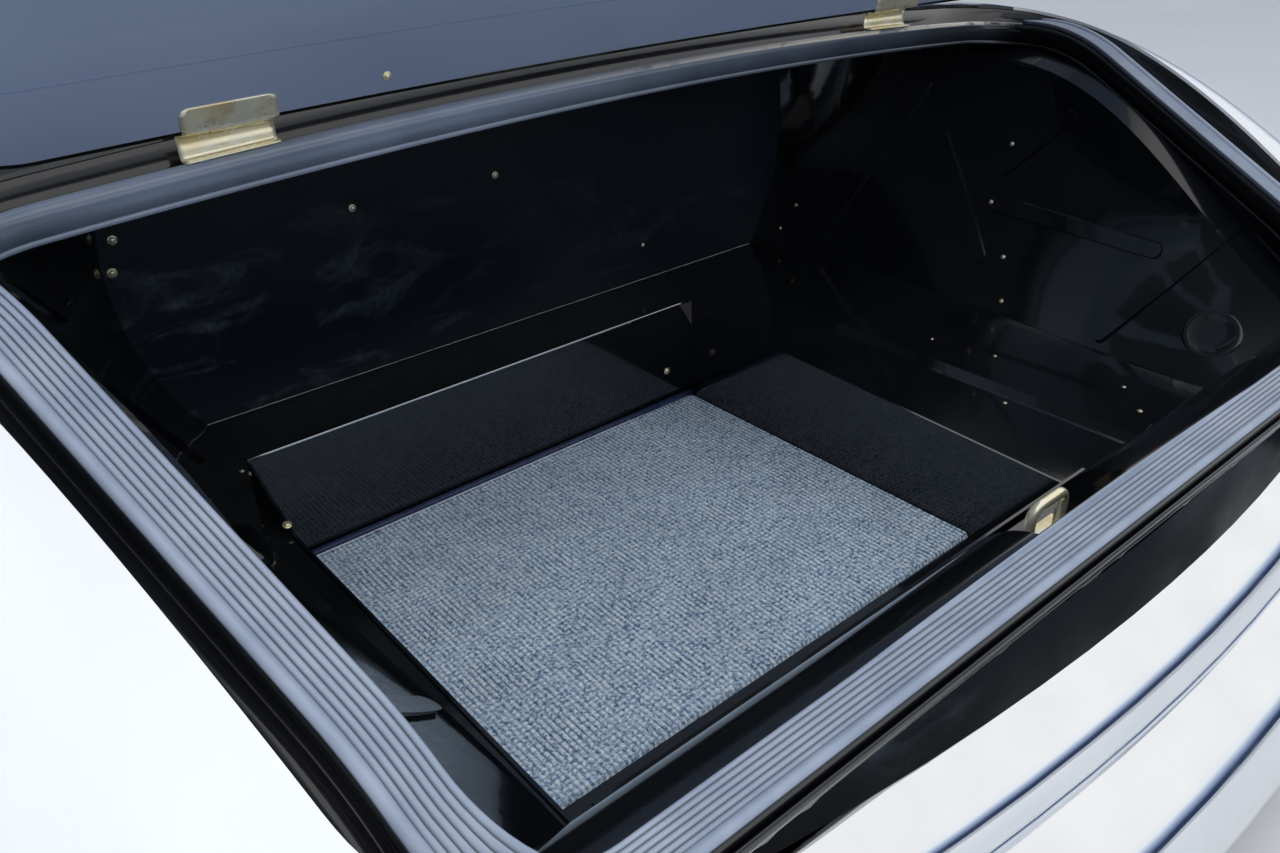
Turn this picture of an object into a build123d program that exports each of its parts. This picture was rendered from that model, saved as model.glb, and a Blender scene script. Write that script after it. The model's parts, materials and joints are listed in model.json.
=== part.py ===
"""Rear body section of a classic sedan, with its boot lid standing open.

Lengths are millimetres. X points to the car's right, Y forward and Z up. The origin lies on the
front face of the cross-member, on the centreline, level with the top of the carpet in the well.
The section ends at the joint plane Y = 0. The lid is drawn shut and then turned open.
"""

import os
from math import asin, atan2, cos, degrees, pi, radians, sin, tan

from build123d import *

os.makedirs("parts", exist_ok=True)

# Sheet and clearances
SHEET = 3.0  # pressed panel with its paint and sealer
SKIN = 4.0  # outer body skin
GAP = 0.3  # between neighbouring panels
LINING_GAP = 0.6  # under the outer skin
LID_GAP = 5.0  # round the shut lid

# Reach of the helper blocks that cut the panels out
FAR = 900.0
LOW_Z = -260.0
HIGH_Z = 640.0

# Boot opening in plan, at the inner edge of its flange
OPEN_FRONT_Y = -268.0
OPEN_REAR_Y = -844.0
OPEN_FRONT_HALF = 685.0
OPEN_REAR_HALF = 567.0
FRONT_CORNER_R = 65.0
REAR_CORNER_R = 70.0
LEAST_CORNER_R = 12.0

# Flange that the lid shuts on: level, then bent down into a straight slope, then bent down again
SEAT_TOP_Z = 468.0
SEAT_BEND_Y = -345.0
SEAT_BEND_R = 262.0
SEAT_SLOPE = 26.0
SEAT_SLOPE_END_Y = -734.0
SEAT_TAIL_R = 225.0
SILL_Z = 190.0
SILL_FLAT_Y = -790.0
CROWN_R = 9000.0
SEAT_WIDTH = 39.0
FRONT_SEAT_WIDTH = 14.0
GUTTER_WIDTH = 24.0
GUTTER_DEPTH = 15.0
FRONT_GUTTER_WIDTH = 21.0
REAR_GUTTER_WIDTH = 6.0
LIP_DEPTH = 26.0
SEAL_HEIGHT = 9.5
SEAL_RIB_HEIGHT = 7.0
SEAL_BASE = 4.5
SEAL_BULB_WIDTH = 9.0
SEAL_GROOVES = 5
SEAL_GROOVE_PITCH = 5.0
SEAL_GROOVE_WIDTH = 1.6
SEAL_FRONT_Y = -318.0

# Lid
LID_FRONT_GAP = 10.0
LID_LIFT = 10.0  # underside of the lid over the flange
LID_THICK = 14.0
LID_FRAME_WIDTH = 88.0
LID_FRAME_FRONT = 210.0
LID_CREASE_WIDTH = 56.0
LID_CREASE_DEPTH = 3.0
LID_BRACE_X = 190.0
LID_BRACE_WIDTH = 70.0
LID_OPEN_ANGLE = 75.0

# Hinges, set in the gap in front of the lid
HINGE_X = 442.0
HINGE_WIDTH = 84.0
HINGE_PLATE = 2.2
HINGE_PIN_R = 2.5
HINGE_KNUCKLE_R = 5.0
HINGE_LEAF_LENGTH = 46.0
HINGE_PIN_PLAY = 0.05
HINGE_RISE = 1.0  # pin over the lid's outer face

# Body shell
SHOULDER_X = 700.0
SIDE_TUCK = 28.0
BODY_BOTTOM_Z = -150.0
TAIL_Y = -888.0
TAIL_BOW_R = 4600.0
TAIL_CORNER_R = 278.0
TAIL_CORNER_X = 527.0
TAIL_CORNER_END = 80.0
TAIL_HALF = 600.0
DECK_END_Y = -440.0
BODY_STATIONS = (
    # y, height on the centreline, height at the shoulder, half width
    (0.0, 482.0, 455.0, 845.0),
    (-345.0, 482.0, 455.0, 846.0),
    (-460.0, 457.0, 430.0, 828.0),
    (-734.0, 323.0, 296.0, 800.0),
    (-815.0, 264.0, 242.0, 788.0),
    (-893.0, 200.0, 186.0, 770.0),
)
ARCH_Y = 60.0
ARCH_Z = -110.0
ARCH_R = 372.0
ARCH_INNER_X = 560.0

# Load space
FLOOR_Z = 92.0
FLOOR_STEP_X = 289.0
FLOOR_STEP_HEIGHT = 8.0
FLOOR_STEP_FRONT_Y = -330.0
WELL_LEFT_X = -474.0
WELL_RIGHT_X = 138.0
WELL_FRONT_Y = -201.0
WELL_REAR_Y = -770.0
WELL_FRONT_HEIGHT = 141.0
WELL_REAR_HEIGHT = 134.0
WELL_SIDES = (
    # name, x of the panel's low side, heights at the front, behind the ramp and at the rear, ramp
    ("well_right_panel", WELL_RIGHT_X, 103.0, 127.0, 107.0, 26.0),
    ("well_left_panel", WELL_LEFT_X - SHEET, 138.0, 95.0, 95.0, 95.0),
)
WELL_RAMP_R = 22.0
WELL_HEM = 12.0
CARPET_THICK = 6.0
CARPET_REAR_Y = -662.0
CARPET_FRONT_GAP = 3.0
CARPET_SIDE_GAP = 1.0

# Inner wings: an arc from the foot to the shoulder, then a ledge out to the flange's lip
SIDE_STATIONS = (
    # y, then x and height of the foot, the middle and the shoulder, then the ledge's run and rise
    (-3.3, 457.0, 92.0, 519.0, 268.0, 484.0, 440.0, 26.0, 18.0),
    (-290.0, 500.0, 92.0, 594.0, 256.0, 654.0, 399.0, 36.0, 20.0),
    (-430.0, 495.0, 92.0, 586.0, 236.0, 631.0, 383.0, 30.0, 20.0),
    (-560.0, 487.0, 92.0, 572.0, 212.0, 603.0, 325.0, 30.0, 20.0),
    (-870.0, 484.0, 92.0, 546.0, 120.0, 568.0, 152.0, 26.0, 16.0),
)
RIB_RISE = 4.0
RIB_BAR_START = 400.0
SIDE_RIBS = (
    # y and height of one end, y and height of the other, half width
    (-78.0, 392.0, -76.0, 306.0, 6.0),
    (-168.0, 400.0, -114.0, 305.0, 6.0),
    (-198.0, 350.0, -114.0, 118.0, 8.0),
    (-252.0, 290.0, -386.0, 150.0, 7.0),
    (-440.0, 342.0, -368.0, 262.0, 8.0),
    (-377.0, 218.0, -612.0, 210.0, 9.0),
    (-684.0, 246.0, -598.0, 112.0, 9.0),
)

# Rear rail
RAIL_FRONT_Y = -779.0
RAIL_FRONT_Z = 138.0
RAIL_CROWN_Y = -806.0
RAIL_CROWN_Z = 173.0
RAIL_END_GAP = 7.0
POCKET_HALF = 75.0
POCKET_X = 8.0
POCKET_FLOOR_Z = 132.0
POCKET_REAR_Y = -838.0

# Striker and latch
STRIKER_X = 4.0
STRIKER_Y = -806.0
STRIKER_WIDTH = 52.0
STRIKER_HEIGHT = 40.0
STRIKER_ROD_R = 5.0
STRIKER_BASE = 4.0
LATCH_BOTTOM_Z = 187.0
LATCH_HALF = 32.0
LATCH_DEPTH = 28.0
LATCH_SLOT_HALF = 20.0
LATCH_SLOT_HEIGHT = 30.0

# Bumper
BUMPER_Y = -920.0
BUMPER_R = 2600.0
BUMPER_HALF_ANGLE = 17.2
BUMPER_CORNER_R = 120.0
BUMPER_CORNER_ANGLE = 63.0
CHROME = 3.0
ROLL_TOP_Z = 152.0
ROLL_DEPTH = 50.0
GROOVE_DEPTH = 36.0
GROOVE_Z = 92.5
GROOVE_HALF = GAP / 2
BLADE_DEPTH = 112.0
BLADE_BOTTOM_Z = -70.0

# Underframe
RAIL_X = 520.0
CHASSIS_WIDTH = 56.0
CHASSIS_HEIGHT = 66.0
CHASSIS_WALL = 3.0
CHASSIS_REAR_Y = -800.0
MEMBER_DEPTH = 60.0
MEMBER_HALF = 552.0
MEMBER_BOTTOM_Z = -45.0
IRON_THICK = 8.0
IRON_HEIGHT = 44.0
IRON_Z = 56.0
IRON_END_Y = -985.0
IRON_OVERLAP = 60.0

# Tail lamps and plate
LAMP_X = 690.0
LAMP_Z = 198.0
LAMP_R = 33.0
LAMP_BASE = 10.0
LAMP_SEAT = 5.0
LAMP_RIM = 4.0
LAMP_DOME = 22.0
PLATE_HALF = 260.0
PLATE_FRONT_Y = -778.0
PLATE_REAR_Y = -850.0
PLATE_THICK = 3.0
PLATE_CORNER_R = 5.0
HANDLE_HALF = 118.0
HANDLE_FRONT_Y = -722.0
HANDLE_REAR_Y = -756.0
HANDLE_RISE = 26.0
HANDLE_CORNER_R = 14.0

CROWN_AXIS = Axis((0, 0, SEAT_TOP_Z - CROWN_R), (0, 1, 0))
CROWN_ANGLE = degrees(asin(FAR / CROWN_R)) + 0.2


def finish(part, name):
    """Name a piece and write it out."""
    part.label = name
    export_step(part, f"parts/{name}.step")


def largest(part):
    """The biggest of a part's solids, without the offcuts that a trim leaves."""
    return Part(part.solids().sort_by(SortBy.VOLUME)[-1:])


def plan_prism(side, front, rear):
    """The opening's plan outline, grown by the three distances, as an upright prism."""
    front_y = OPEN_FRONT_Y + front
    rear_y = OPEN_REAR_Y - rear
    taper = (OPEN_FRONT_HALF - OPEN_REAR_HALF) / (OPEN_FRONT_Y - OPEN_REAR_Y)
    front_half = OPEN_FRONT_HALF + side + taper * front
    rear_half = OPEN_REAR_HALF + side - taper * rear
    corners = ((front_half, front_y), (rear_half, rear_y), (-rear_half, rear_y), (-front_half, front_y))
    front_radius = max(FRONT_CORNER_R + side, LEAST_CORNER_R)
    rear_radius = max(REAR_CORNER_R + side, LEAST_CORNER_R)
    radii = (front_radius, rear_radius, rear_radius, front_radius)
    with BuildPart(mode=Mode.PRIVATE) as prism:
        with BuildSketch(Plane.XY.offset(LOW_Z)):
            with BuildLine():
                FilletPolyline(*corners, radius=radii, close=True)
            make_face()
        extrude(amount=HIGH_Z - LOW_Z)
    return prism.part


def slab(x_low, x_high, y_low, y_high, z_low, z_high):
    """A square-edged block between two corners."""
    with BuildPart(mode=Mode.PRIVATE) as block:
        with Locations(((x_low + x_high) / 2, (y_low + y_high) / 2, (z_low + z_high) / 2)):
            Box(x_high - x_low, y_high - y_low, z_high - z_low)
    return block.part


def under_seat(drop):
    """All that lies under the opening's flange, lowered square to itself by drop.

    Its crown is turned about a long axis; behind SILL_FLAT_Y it is never lower than the flat sill.
    """
    slope = radians(SEAT_SLOPE)
    bend_end = Vector(SEAT_BEND_Y, SEAT_TOP_Z) + Vector(-sin(slope), cos(slope) - 1) * SEAT_BEND_R
    tail_start = Vector(SEAT_SLOPE_END_Y, bend_end.Y + (SEAT_SLOPE_END_Y - bend_end.X) * tan(slope))
    tail_centre = tail_start - Vector(-sin(slope), cos(slope)) * SEAT_TAIL_R
    with BuildPart(mode=Mode.PRIVATE) as block:
        with BuildSketch(Plane.YZ):
            with BuildLine():
                top_z = SEAT_TOP_Z - drop
                level = Line((FAR / 10, top_z), (SEAT_BEND_Y, top_z))
                bend = CenterArc((SEAT_BEND_Y, SEAT_TOP_Z - SEAT_BEND_R), SEAT_BEND_R - drop, 90, SEAT_SLOPE)
                tail = CenterArc(tail_centre, SEAT_TAIL_R - drop, 90 + SEAT_SLOPE, 90 - SEAT_SLOPE)
                Line(bend @ 1, tail @ 0)
                Polyline(tail @ 1, ((tail @ 1).X, LOW_Z), (FAR / 10, LOW_Z), level @ 0)
            make_face()
        revolve(axis=CROWN_AXIS, revolution_arc=2 * CROWN_ANGLE)
    crowned = block.part.rotate(CROWN_AXIS, -CROWN_ANGLE)
    with BuildPart(mode=Mode.PRIVATE) as whole:
        add(crowned)
        add(slab(-FAR + 60, FAR - 60, -FAR, SILL_FLAT_Y, LOW_Z, SILL_Z - drop))
    return whole.part


def under_lid(drop):
    """All that lies under the lid's outer face, lowered by drop."""
    return under_seat(drop - LID_LIFT - LID_THICK)


def layer(top, bottom, outer, inner):
    """What lies under one block, over another and between two prisms."""
    with BuildPart(mode=Mode.PRIVATE) as piece:
        add(top)
        add(bottom, mode=Mode.SUBTRACT)
        add(outer, mode=Mode.INTERSECT)
        if inner is not None:
            add(inner, mode=Mode.SUBTRACT)
    return piece.part


def tail_corner_y():
    """How far back the centres of the tail's rounded corners lie."""
    reach = TAIL_BOW_R - TAIL_CORNER_R
    return TAIL_Y + TAIL_BOW_R - reach * cos(asin(TAIL_CORNER_X / reach))


def tail_prism(inset):
    """The body's plan as a prism: a bowed tail with rounded corners, drawn smaller by inset."""
    bow_y = TAIL_Y + TAIL_BOW_R
    turn = degrees(asin(TAIL_CORNER_X / (TAIL_BOW_R - TAIL_CORNER_R)))
    corner_y = tail_corner_y()
    with BuildPart(mode=Mode.PRIVATE) as prism:
        with BuildSketch(Plane.XY.offset(LOW_Z)):
            with BuildLine():
                bow = CenterArc((0, bow_y), TAIL_BOW_R - inset, 270 - turn, 2 * turn)
                corner_r = TAIL_CORNER_R - inset
                sweep_angle = TAIL_CORNER_END - turn
                right = CenterArc((TAIL_CORNER_X, corner_y), corner_r, 270 + turn, sweep_angle)
                left = CenterArc((-TAIL_CORNER_X, corner_y), corner_r, 270 - turn, -sweep_angle)
                heading = radians(TAIL_CORNER_END)
                run = Vector(cos(heading), sin(heading)) * FAR
                mirrored_run = Vector(-cos(heading), sin(heading)) * FAR
                Polyline(right @ 1, (right @ 1) + run, (left @ 1) + mirrored_run, left @ 1)
            make_face()
        extrude(amount=HIGH_Z - LOW_Z)
    return prism.part


def body_block(inset, bottom_z):
    """The body lofted through its stations, each drawn smaller by inset."""
    with BuildPart(mode=Mode.PRIVATE) as body:
        for station_y, centre_z, shoulder_z, half in BODY_STATIONS:
            rise = centre_z - shoulder_z
            slope = asin(2 * rise * SHOULDER_X / (SHOULDER_X**2 + rise**2))
            side_x = half - inset
            edge_z = shoulder_z - inset
            side_z = edge_z - (side_x - SHOULDER_X) * tan((pi / 2 + slope) / 2)
            with BuildSketch(Plane.XZ.offset(-station_y)):
                with BuildLine():
                    crown = ThreePointArc((-SHOULDER_X, edge_z), (0, centre_z - inset), (SHOULDER_X, edge_z))
                    right = TangentArc(crown @ 1, (side_x, side_z), tangent=crown % 1)
                    right_side = TangentArc(right @ 1, (side_x - SIDE_TUCK, bottom_z), tangent=(0, -1))
                    left = TangentArc(crown @ 0, (-side_x, side_z), tangent=(crown % 0) * -1)
                    left_side = TangentArc(left @ 1, (SIDE_TUCK - side_x, bottom_z), tangent=(0, -1))
                    Line(right_side @ 1, left_side @ 1)
                make_face()
        loft()
        add(tail_prism(inset), mode=Mode.INTERSECT)
    return body.part


def side_block(shift):
    """All outboard of the right inner wing's face, moved outboard by shift and down by half of it."""
    with BuildPart(mode=Mode.PRIVATE) as block:
        for station_y, foot_x, foot_z, middle_x, middle_z, top_x, top_z, run, rise in SIDE_STATIONS:
            out = Vector(shift, -shift / 2)
            foot = out + Vector(foot_x, foot_z + GAP)
            shoulder = out + Vector(top_x, top_z)
            ledge_end = shoulder + Vector(run, rise)
            with BuildSketch(Plane.XZ.offset(-station_y)):
                with BuildLine():
                    ThreePointArc(foot, out + Vector(middle_x, middle_z), shoulder)
                    Polyline(shoulder, ledge_end, (ledge_end.X, HIGH_Z), (FAR, HIGH_Z), (FAR, foot.Y), foot)
                make_face()
        loft()
    return block.part


def rib_bars():
    """The ribs' outlines, seen from the side, as bars that reach across the right inner wing."""
    with BuildPart(mode=Mode.PRIVATE) as bars:
        for start_y, start_z, end_y, end_z, half in SIDE_RIBS:
            run = Vector(end_y - start_y, end_z - start_z)
            middle = Vector(start_y + end_y, start_z + end_z) / 2
            with BuildSketch(Plane.YZ.offset(RIB_BAR_START)):
                with Locations(Location(middle, (0, 0, degrees(atan2(run.Y, run.X))))):
                    SlotCenterToCenter(run.length, 2 * half)
            extrude(amount=FAR - RIB_BAR_START)
    return bars.part


seat_prism = plan_prism(SEAT_WIDTH, FRONT_SEAT_WIDTH, SEAT_WIDTH)
opening_prism = plan_prism(0, 0, 0)
gutter_side = SEAT_WIDTH + GUTTER_WIDTH
gutter_front = FRONT_SEAT_WIDTH + FRONT_GUTTER_WIDTH
gutter_rear = SEAT_WIDTH + REAR_GUTTER_WIDTH
gutter_prism = plan_prism(gutter_side, gutter_front, gutter_rear)
wall_prism = plan_prism(gutter_side + SHEET, gutter_front + SHEET, gutter_rear + SHEET)
seat_top = under_seat(0)
gutter_foot = under_seat(GUTTER_DEPTH + SHEET)
under_gutter = under_seat(GUTTER_DEPTH + SHEET + GAP)
outer_body = body_block(0, BODY_BOTTOM_Z)
inner_body = body_block(SKIN, BODY_BOTTOM_Z - 2 * SKIN)
lined_body = body_block(SKIN + LINING_GAP, BODY_BOTTOM_Z)
right_side = side_block(0)
left_side = mirror(right_side, about=Plane.YZ)

# Opening flange: seat, outer web, gutter, gutter wall and turned-down inner lip
web_prism = plan_prism(SEAT_WIDTH - SHEET, FRONT_SEAT_WIDTH - SHEET, SEAT_WIDTH - SHEET)
lip_prism = plan_prism(SHEET, SHEET, SHEET)
with BuildPart() as opening_rim:
    add(layer(seat_top, under_seat(SHEET), seat_prism, opening_prism))
    add(layer(seat_top, gutter_foot, seat_prism, web_prism))
    add(layer(under_seat(GUTTER_DEPTH), gutter_foot, wall_prism, web_prism))
    add(layer(lined_body, gutter_foot, wall_prism, gutter_prism))
    inner_lip = layer(seat_top, under_seat(LIP_DEPTH), lip_prism, opening_prism)
    add(inner_lip - slab(-FAR, FAR, -FAR, SILL_FLAT_Y, LOW_Z, HIGH_Z))
finish(opening_rim.part, "opening_rim")

# Outer skin, split at the joints between the pressings
with BuildPart() as shell:
    add(outer_body)
    add(inner_body, mode=Mode.SUBTRACT)
    add(gutter_prism - under_gutter, mode=Mode.SUBTRACT)
    slot_side = gutter_side + SHEET + GAP
    slot_prism = plan_prism(slot_side, gutter_front + SHEET + GAP, gutter_rear + SHEET + GAP)
    add(layer(under_seat(GUTTER_DEPTH - GAP), under_gutter, slot_prism, gutter_prism), mode=Mode.SUBTRACT)
    with Locations(Pos(0, ARCH_Y, ARCH_Z) * Rot(0, 90, 0)):
        Cylinder(ARCH_R, 2 * FAR, mode=Mode.SUBTRACT)

deck_zone = slab(-SHOULDER_X, SHOULDER_X, DECK_END_Y, 1, 380, HIGH_Z)
tail_zone = slab(-TAIL_HALF, TAIL_HALF, -FAR, SILL_FLAT_Y, LOW_Z, SILL_Z)
with BuildPart() as deck_panel:
    add(shell.part)
    add(deck_zone, mode=Mode.INTERSECT)
finish(deck_panel.part, "deck_panel")

iron_slot_half = IRON_THICK / 2 + 6
with BuildPart() as tail_panel:
    add(shell.part)
    add(tail_zone, mode=Mode.INTERSECT)
    with Locations((-RAIL_X, TAIL_Y, IRON_Z), (RAIL_X, TAIL_Y, IRON_Z)):
        Box(2 * iron_slot_half, 160, IRON_HEIGHT + 12, mode=Mode.SUBTRACT)
finish(tail_panel.part, "tail_panel")

with BuildPart() as outer_wing_right:
    add(shell.part)
    add(deck_zone, mode=Mode.SUBTRACT)
    add(tail_zone, mode=Mode.SUBTRACT)
    add(slab(0, FAR, -FAR, 1, LOW_Z, HIGH_Z), mode=Mode.INTERSECT)
finish(outer_wing_right.part, "outer_wing_right")
with BuildPart() as outer_wing_left:
    add(mirror(outer_wing_right.part, about=Plane.YZ))
finish(outer_wing_left.part, "outer_wing_left")

# Wheel arch liners between the inner and the outer wings
with BuildPart() as arch_liner_right:
    with BuildSketch(Plane.YZ.offset(ARCH_INNER_X)):
        with Locations((ARCH_Y, ARCH_Z)):
            Circle(ARCH_R + SHEET)
            Circle(ARCH_R, mode=Mode.SUBTRACT)
    extrude(amount=FAR - ARCH_INNER_X)
    add(slab(0, FAR, -FAR, -SHEET - GAP, BODY_BOTTOM_Z, HIGH_Z), mode=Mode.INTERSECT)
    add(lined_body, mode=Mode.INTERSECT)
finish(arch_liner_right.part, "arch_liner_right")
with BuildPart() as arch_liner_left:
    add(mirror(arch_liner_right.part, about=Plane.YZ))
finish(arch_liner_left.part, "arch_liner_left")

# Inner wings: dished, ribbed panels from the boot floor out to the lip and up behind it
lip_zone = plan_prism(SHEET + GAP, SHEET + GAP, SHEET + GAP) & slab(-FAR, FAR, SILL_FLAT_Y, 0, LOW_Z, HIGH_Z)
web_side = SEAT_WIDTH - SHEET - GAP
gutter_zone = slot_prism - plan_prism(web_side, FRONT_SEAT_WIDTH - SHEET - GAP, web_side)
with BuildPart() as inner_wing_right:
    add(right_side)
    add(side_block(-RIB_RISE) & rib_bars())
    add(side_block(SHEET), mode=Mode.SUBTRACT)
    add(under_seat(SHEET + GAP), mode=Mode.INTERSECT)
    add(lip_zone - under_seat(LIP_DEPTH + GAP), mode=Mode.SUBTRACT)
    add(gutter_zone - under_gutter, mode=Mode.SUBTRACT)
    add(lined_body, mode=Mode.INTERSECT)
inner_wing = largest(inner_wing_right.part)
finish(inner_wing, "inner_wing_right")
finish(mirror(inner_wing, about=Plane.YZ), "inner_wing_left")

# Bulkhead behind the seats, out to the inside of the wings
with BuildPart() as bulkhead:
    add(slab(-FAR, FAR, -SHEET, 0, FLOOR_Z, HIGH_Z))
    add(lined_body, mode=Mode.INTERSECT)
    with Locations(Pos(0, ARCH_Y, ARCH_Z) * Rot(0, 90, 0)):
        Cylinder(ARCH_R + SHEET, 2 * FAR, mode=Mode.SUBTRACT)
    add(slab(-ARCH_INNER_X, ARCH_INNER_X, -SHEET, 0, FLOOR_Z, 300))
finish(bulkhead.part, "bulkhead")

# Boot floor round the well, with a raised swage along its right side
with BuildPart() as boot_floor:
    add(slab(-520, 520, RAIL_FRONT_Y + GAP, -SHEET - GAP, FLOOR_Z - SHEET, FLOOR_Z))
    well_right = WELL_RIGHT_X + SHEET + GAP
    well_left = WELL_LEFT_X - SHEET - GAP
    well_front = WELL_FRONT_Y + SHEET + GAP
    add(slab(well_left, well_right, -FAR, well_front, 0, FLOOR_Z + SHEET), mode=Mode.SUBTRACT)
    with BuildSketch(Plane.XZ.offset(-FLOOR_STEP_FRONT_Y)):
        with BuildLine():
            step_top = FLOOR_Z + FLOOR_STEP_HEIGHT
            step_out = FLOOR_STEP_X + FLOOR_STEP_HEIGHT
            Polyline(
                (FLOOR_STEP_X, FLOOR_Z), (step_out, step_top), (460, step_top), (460, FLOOR_Z), close=True
            )
        make_face()
    extrude(amount=FLOOR_STEP_FRONT_Y - RAIL_FRONT_Y - GAP)
    add(right_side, mode=Mode.SUBTRACT)
    add(left_side, mode=Mode.SUBTRACT)
finish(boot_floor.part, "boot_floor")

# Lining box of the well
with BuildPart() as well_floor:
    floor_z = -CARPET_THICK - GAP
    add(slab(WELL_LEFT_X, WELL_RIGHT_X, WELL_REAR_Y, WELL_FRONT_Y, floor_z - SHEET, floor_z))
finish(well_floor.part, "well_floor")

with BuildPart() as well_front_panel:
    with BuildSketch(Plane.YZ.offset(WELL_LEFT_X - SHEET)):
        with BuildLine():
            Polyline(
                (WELL_FRONT_Y, floor_z - SHEET),
                (WELL_FRONT_Y + SHEET, floor_z - SHEET),
                (WELL_FRONT_Y + SHEET, WELL_FRONT_HEIGHT - SHEET),
                (WELL_FRONT_Y + WELL_HEM, WELL_FRONT_HEIGHT - SHEET),
                (WELL_FRONT_Y + WELL_HEM, WELL_FRONT_HEIGHT),
                (WELL_FRONT_Y, WELL_FRONT_HEIGHT),
                close=True,
            )
        make_face()
    extrude(amount=WELL_RIGHT_X - WELL_LEFT_X + 2 * SHEET)
finish(well_front_panel.part, "well_front_panel")

with BuildPart() as well_rear_panel:
    rear_face_y = WELL_REAR_Y - SHEET
    add(slab(WELL_LEFT_X, WELL_RIGHT_X, rear_face_y, WELL_REAR_Y, floor_z - SHEET, WELL_REAR_HEIGHT))
finish(well_rear_panel.part, "well_rear_panel")

for name, low_x, front_height, side_height, rear_height, ramp in WELL_SIDES:
    with BuildPart() as well_side:
        with BuildSketch(Plane.YZ.offset(low_x)):
            with BuildLine():
                FilletPolyline(
                    (WELL_FRONT_Y, floor_z - SHEET),
                    (WELL_FRONT_Y, front_height),
                    (WELL_FRONT_Y - ramp, side_height),
                    (WELL_REAR_Y - SHEET, rear_height),
                    (WELL_REAR_Y - SHEET, floor_z - SHEET),
                    radius=(0, 0, WELL_RAMP_R, 0, 0),
                    close=True,
                )
            make_face()
        extrude(amount=SHEET)
    finish(well_side.part, name)

with BuildPart() as carpet:
    front_y = WELL_FRONT_Y - CARPET_FRONT_GAP
    left_x = WELL_LEFT_X + CARPET_SIDE_GAP
    add(slab(left_x, WELL_RIGHT_X - CARPET_SIDE_GAP, CARPET_REAR_Y, front_y, -CARPET_THICK, 0))
finish(carpet.part, "carpet")

# Rear rail: a rounded pressing from the sill down to the boot floor, with the striker's pocket
rail_pocket = slab(
    POCKET_X - POCKET_HALF, POCKET_X + POCKET_HALF, POCKET_REAR_Y, RAIL_FRONT_Y + 1, POCKET_FLOOR_Z, SILL_Z
)


def rail_profile(inset, reach_x):
    """The rail's outside as a solid bar, drawn smaller by inset."""
    with BuildPart(mode=Mode.PRIVATE) as bar:
        with BuildSketch(Plane.YZ.offset(-reach_x)):
            with BuildLine():
                top_z = SILL_Z - SHEET - GAP - inset
                rear_y = OPEN_REAR_Y - SEAT_WIDTH + SHEET + GAP
                top = Line((rear_y + inset, top_z), (OPEN_REAR_Y, top_z))
                front = (RAIL_FRONT_Y - inset, RAIL_FRONT_Z - inset / 2)
                crown_point = (RAIL_CROWN_Y - inset * 0.7, RAIL_CROWN_Z - inset * 0.7)
                crown = ThreePointArc(top @ 1, crown_point, front)
                foot_z = FLOOR_Z - SHEET
                Polyline(crown @ 1, (front[0], foot_z), (rear_y + inset, foot_z), top @ 0)
            make_face()
        extrude(amount=2 * reach_x)
    return bar.part


rail_reach = OPEN_REAR_HALF - RAIL_END_GAP
with BuildPart() as rear_rail:
    add(rail_profile(0, rail_reach))
    add(rail_profile(SHEET, FAR), mode=Mode.SUBTRACT)
    add(slab(-FAR, FAR, -FAR, 0, LOW_Z, FLOOR_Z + SHEET / 3), mode=Mode.SUBTRACT)
    add(rail_pocket, mode=Mode.SUBTRACT)
    add(right_side, mode=Mode.SUBTRACT)
    add(left_side, mode=Mode.SUBTRACT)
    add(opening_rim.part, mode=Mode.SUBTRACT)
    add(lined_body, mode=Mode.INTERSECT)
finish(rear_rail.part, "rear_rail")

with BuildPart() as latch_pocket:
    tub = rail_profile(0, rail_reach) & slab(
        POCKET_X - POCKET_HALF + GAP,
        POCKET_X + POCKET_HALF - GAP,
        POCKET_REAR_Y + GAP,
        RAIL_FRONT_Y,
        POCKET_FLOOR_Z - SHEET,
        SILL_Z,
    )
    hollow = slab(
        POCKET_X - POCKET_HALF + GAP + SHEET,
        POCKET_X + POCKET_HALF - GAP - SHEET,
        POCKET_REAR_Y + GAP + SHEET,
        RAIL_FRONT_Y + 1,
        POCKET_FLOOR_Z,
        HIGH_Z,
    )
    add(tub - hollow)
    add(rear_rail.part, mode=Mode.SUBTRACT)
finish(latch_pocket.part, "latch_pocket")

# Striker: a bent rod on a screwed base
with BuildPart() as striker:
    with Locations((STRIKER_X, STRIKER_Y, POCKET_FLOOR_Z + STRIKER_BASE / 2)):
        Box(STRIKER_WIDTH + 24, 26, STRIKER_BASE)
    with BuildLine() as striker_path:
        foot_z = POCKET_FLOOR_Z + STRIKER_BASE / 2
        half = STRIKER_WIDTH / 2
        FilletPolyline(
            (STRIKER_X - half, STRIKER_Y, foot_z),
            (STRIKER_X - half, STRIKER_Y, foot_z + STRIKER_HEIGHT),
            (STRIKER_X + half, STRIKER_Y, foot_z + STRIKER_HEIGHT),
            (STRIKER_X + half, STRIKER_Y, foot_z),
            radius=2.2 * STRIKER_ROD_R,
        )
    with BuildSketch(Plane(striker_path.line @ 0, z_dir=striker_path.line % 0)):
        Circle(STRIKER_ROD_R)
    sweep(path=striker_path.line)
finish(striker.part, "striker")

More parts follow.
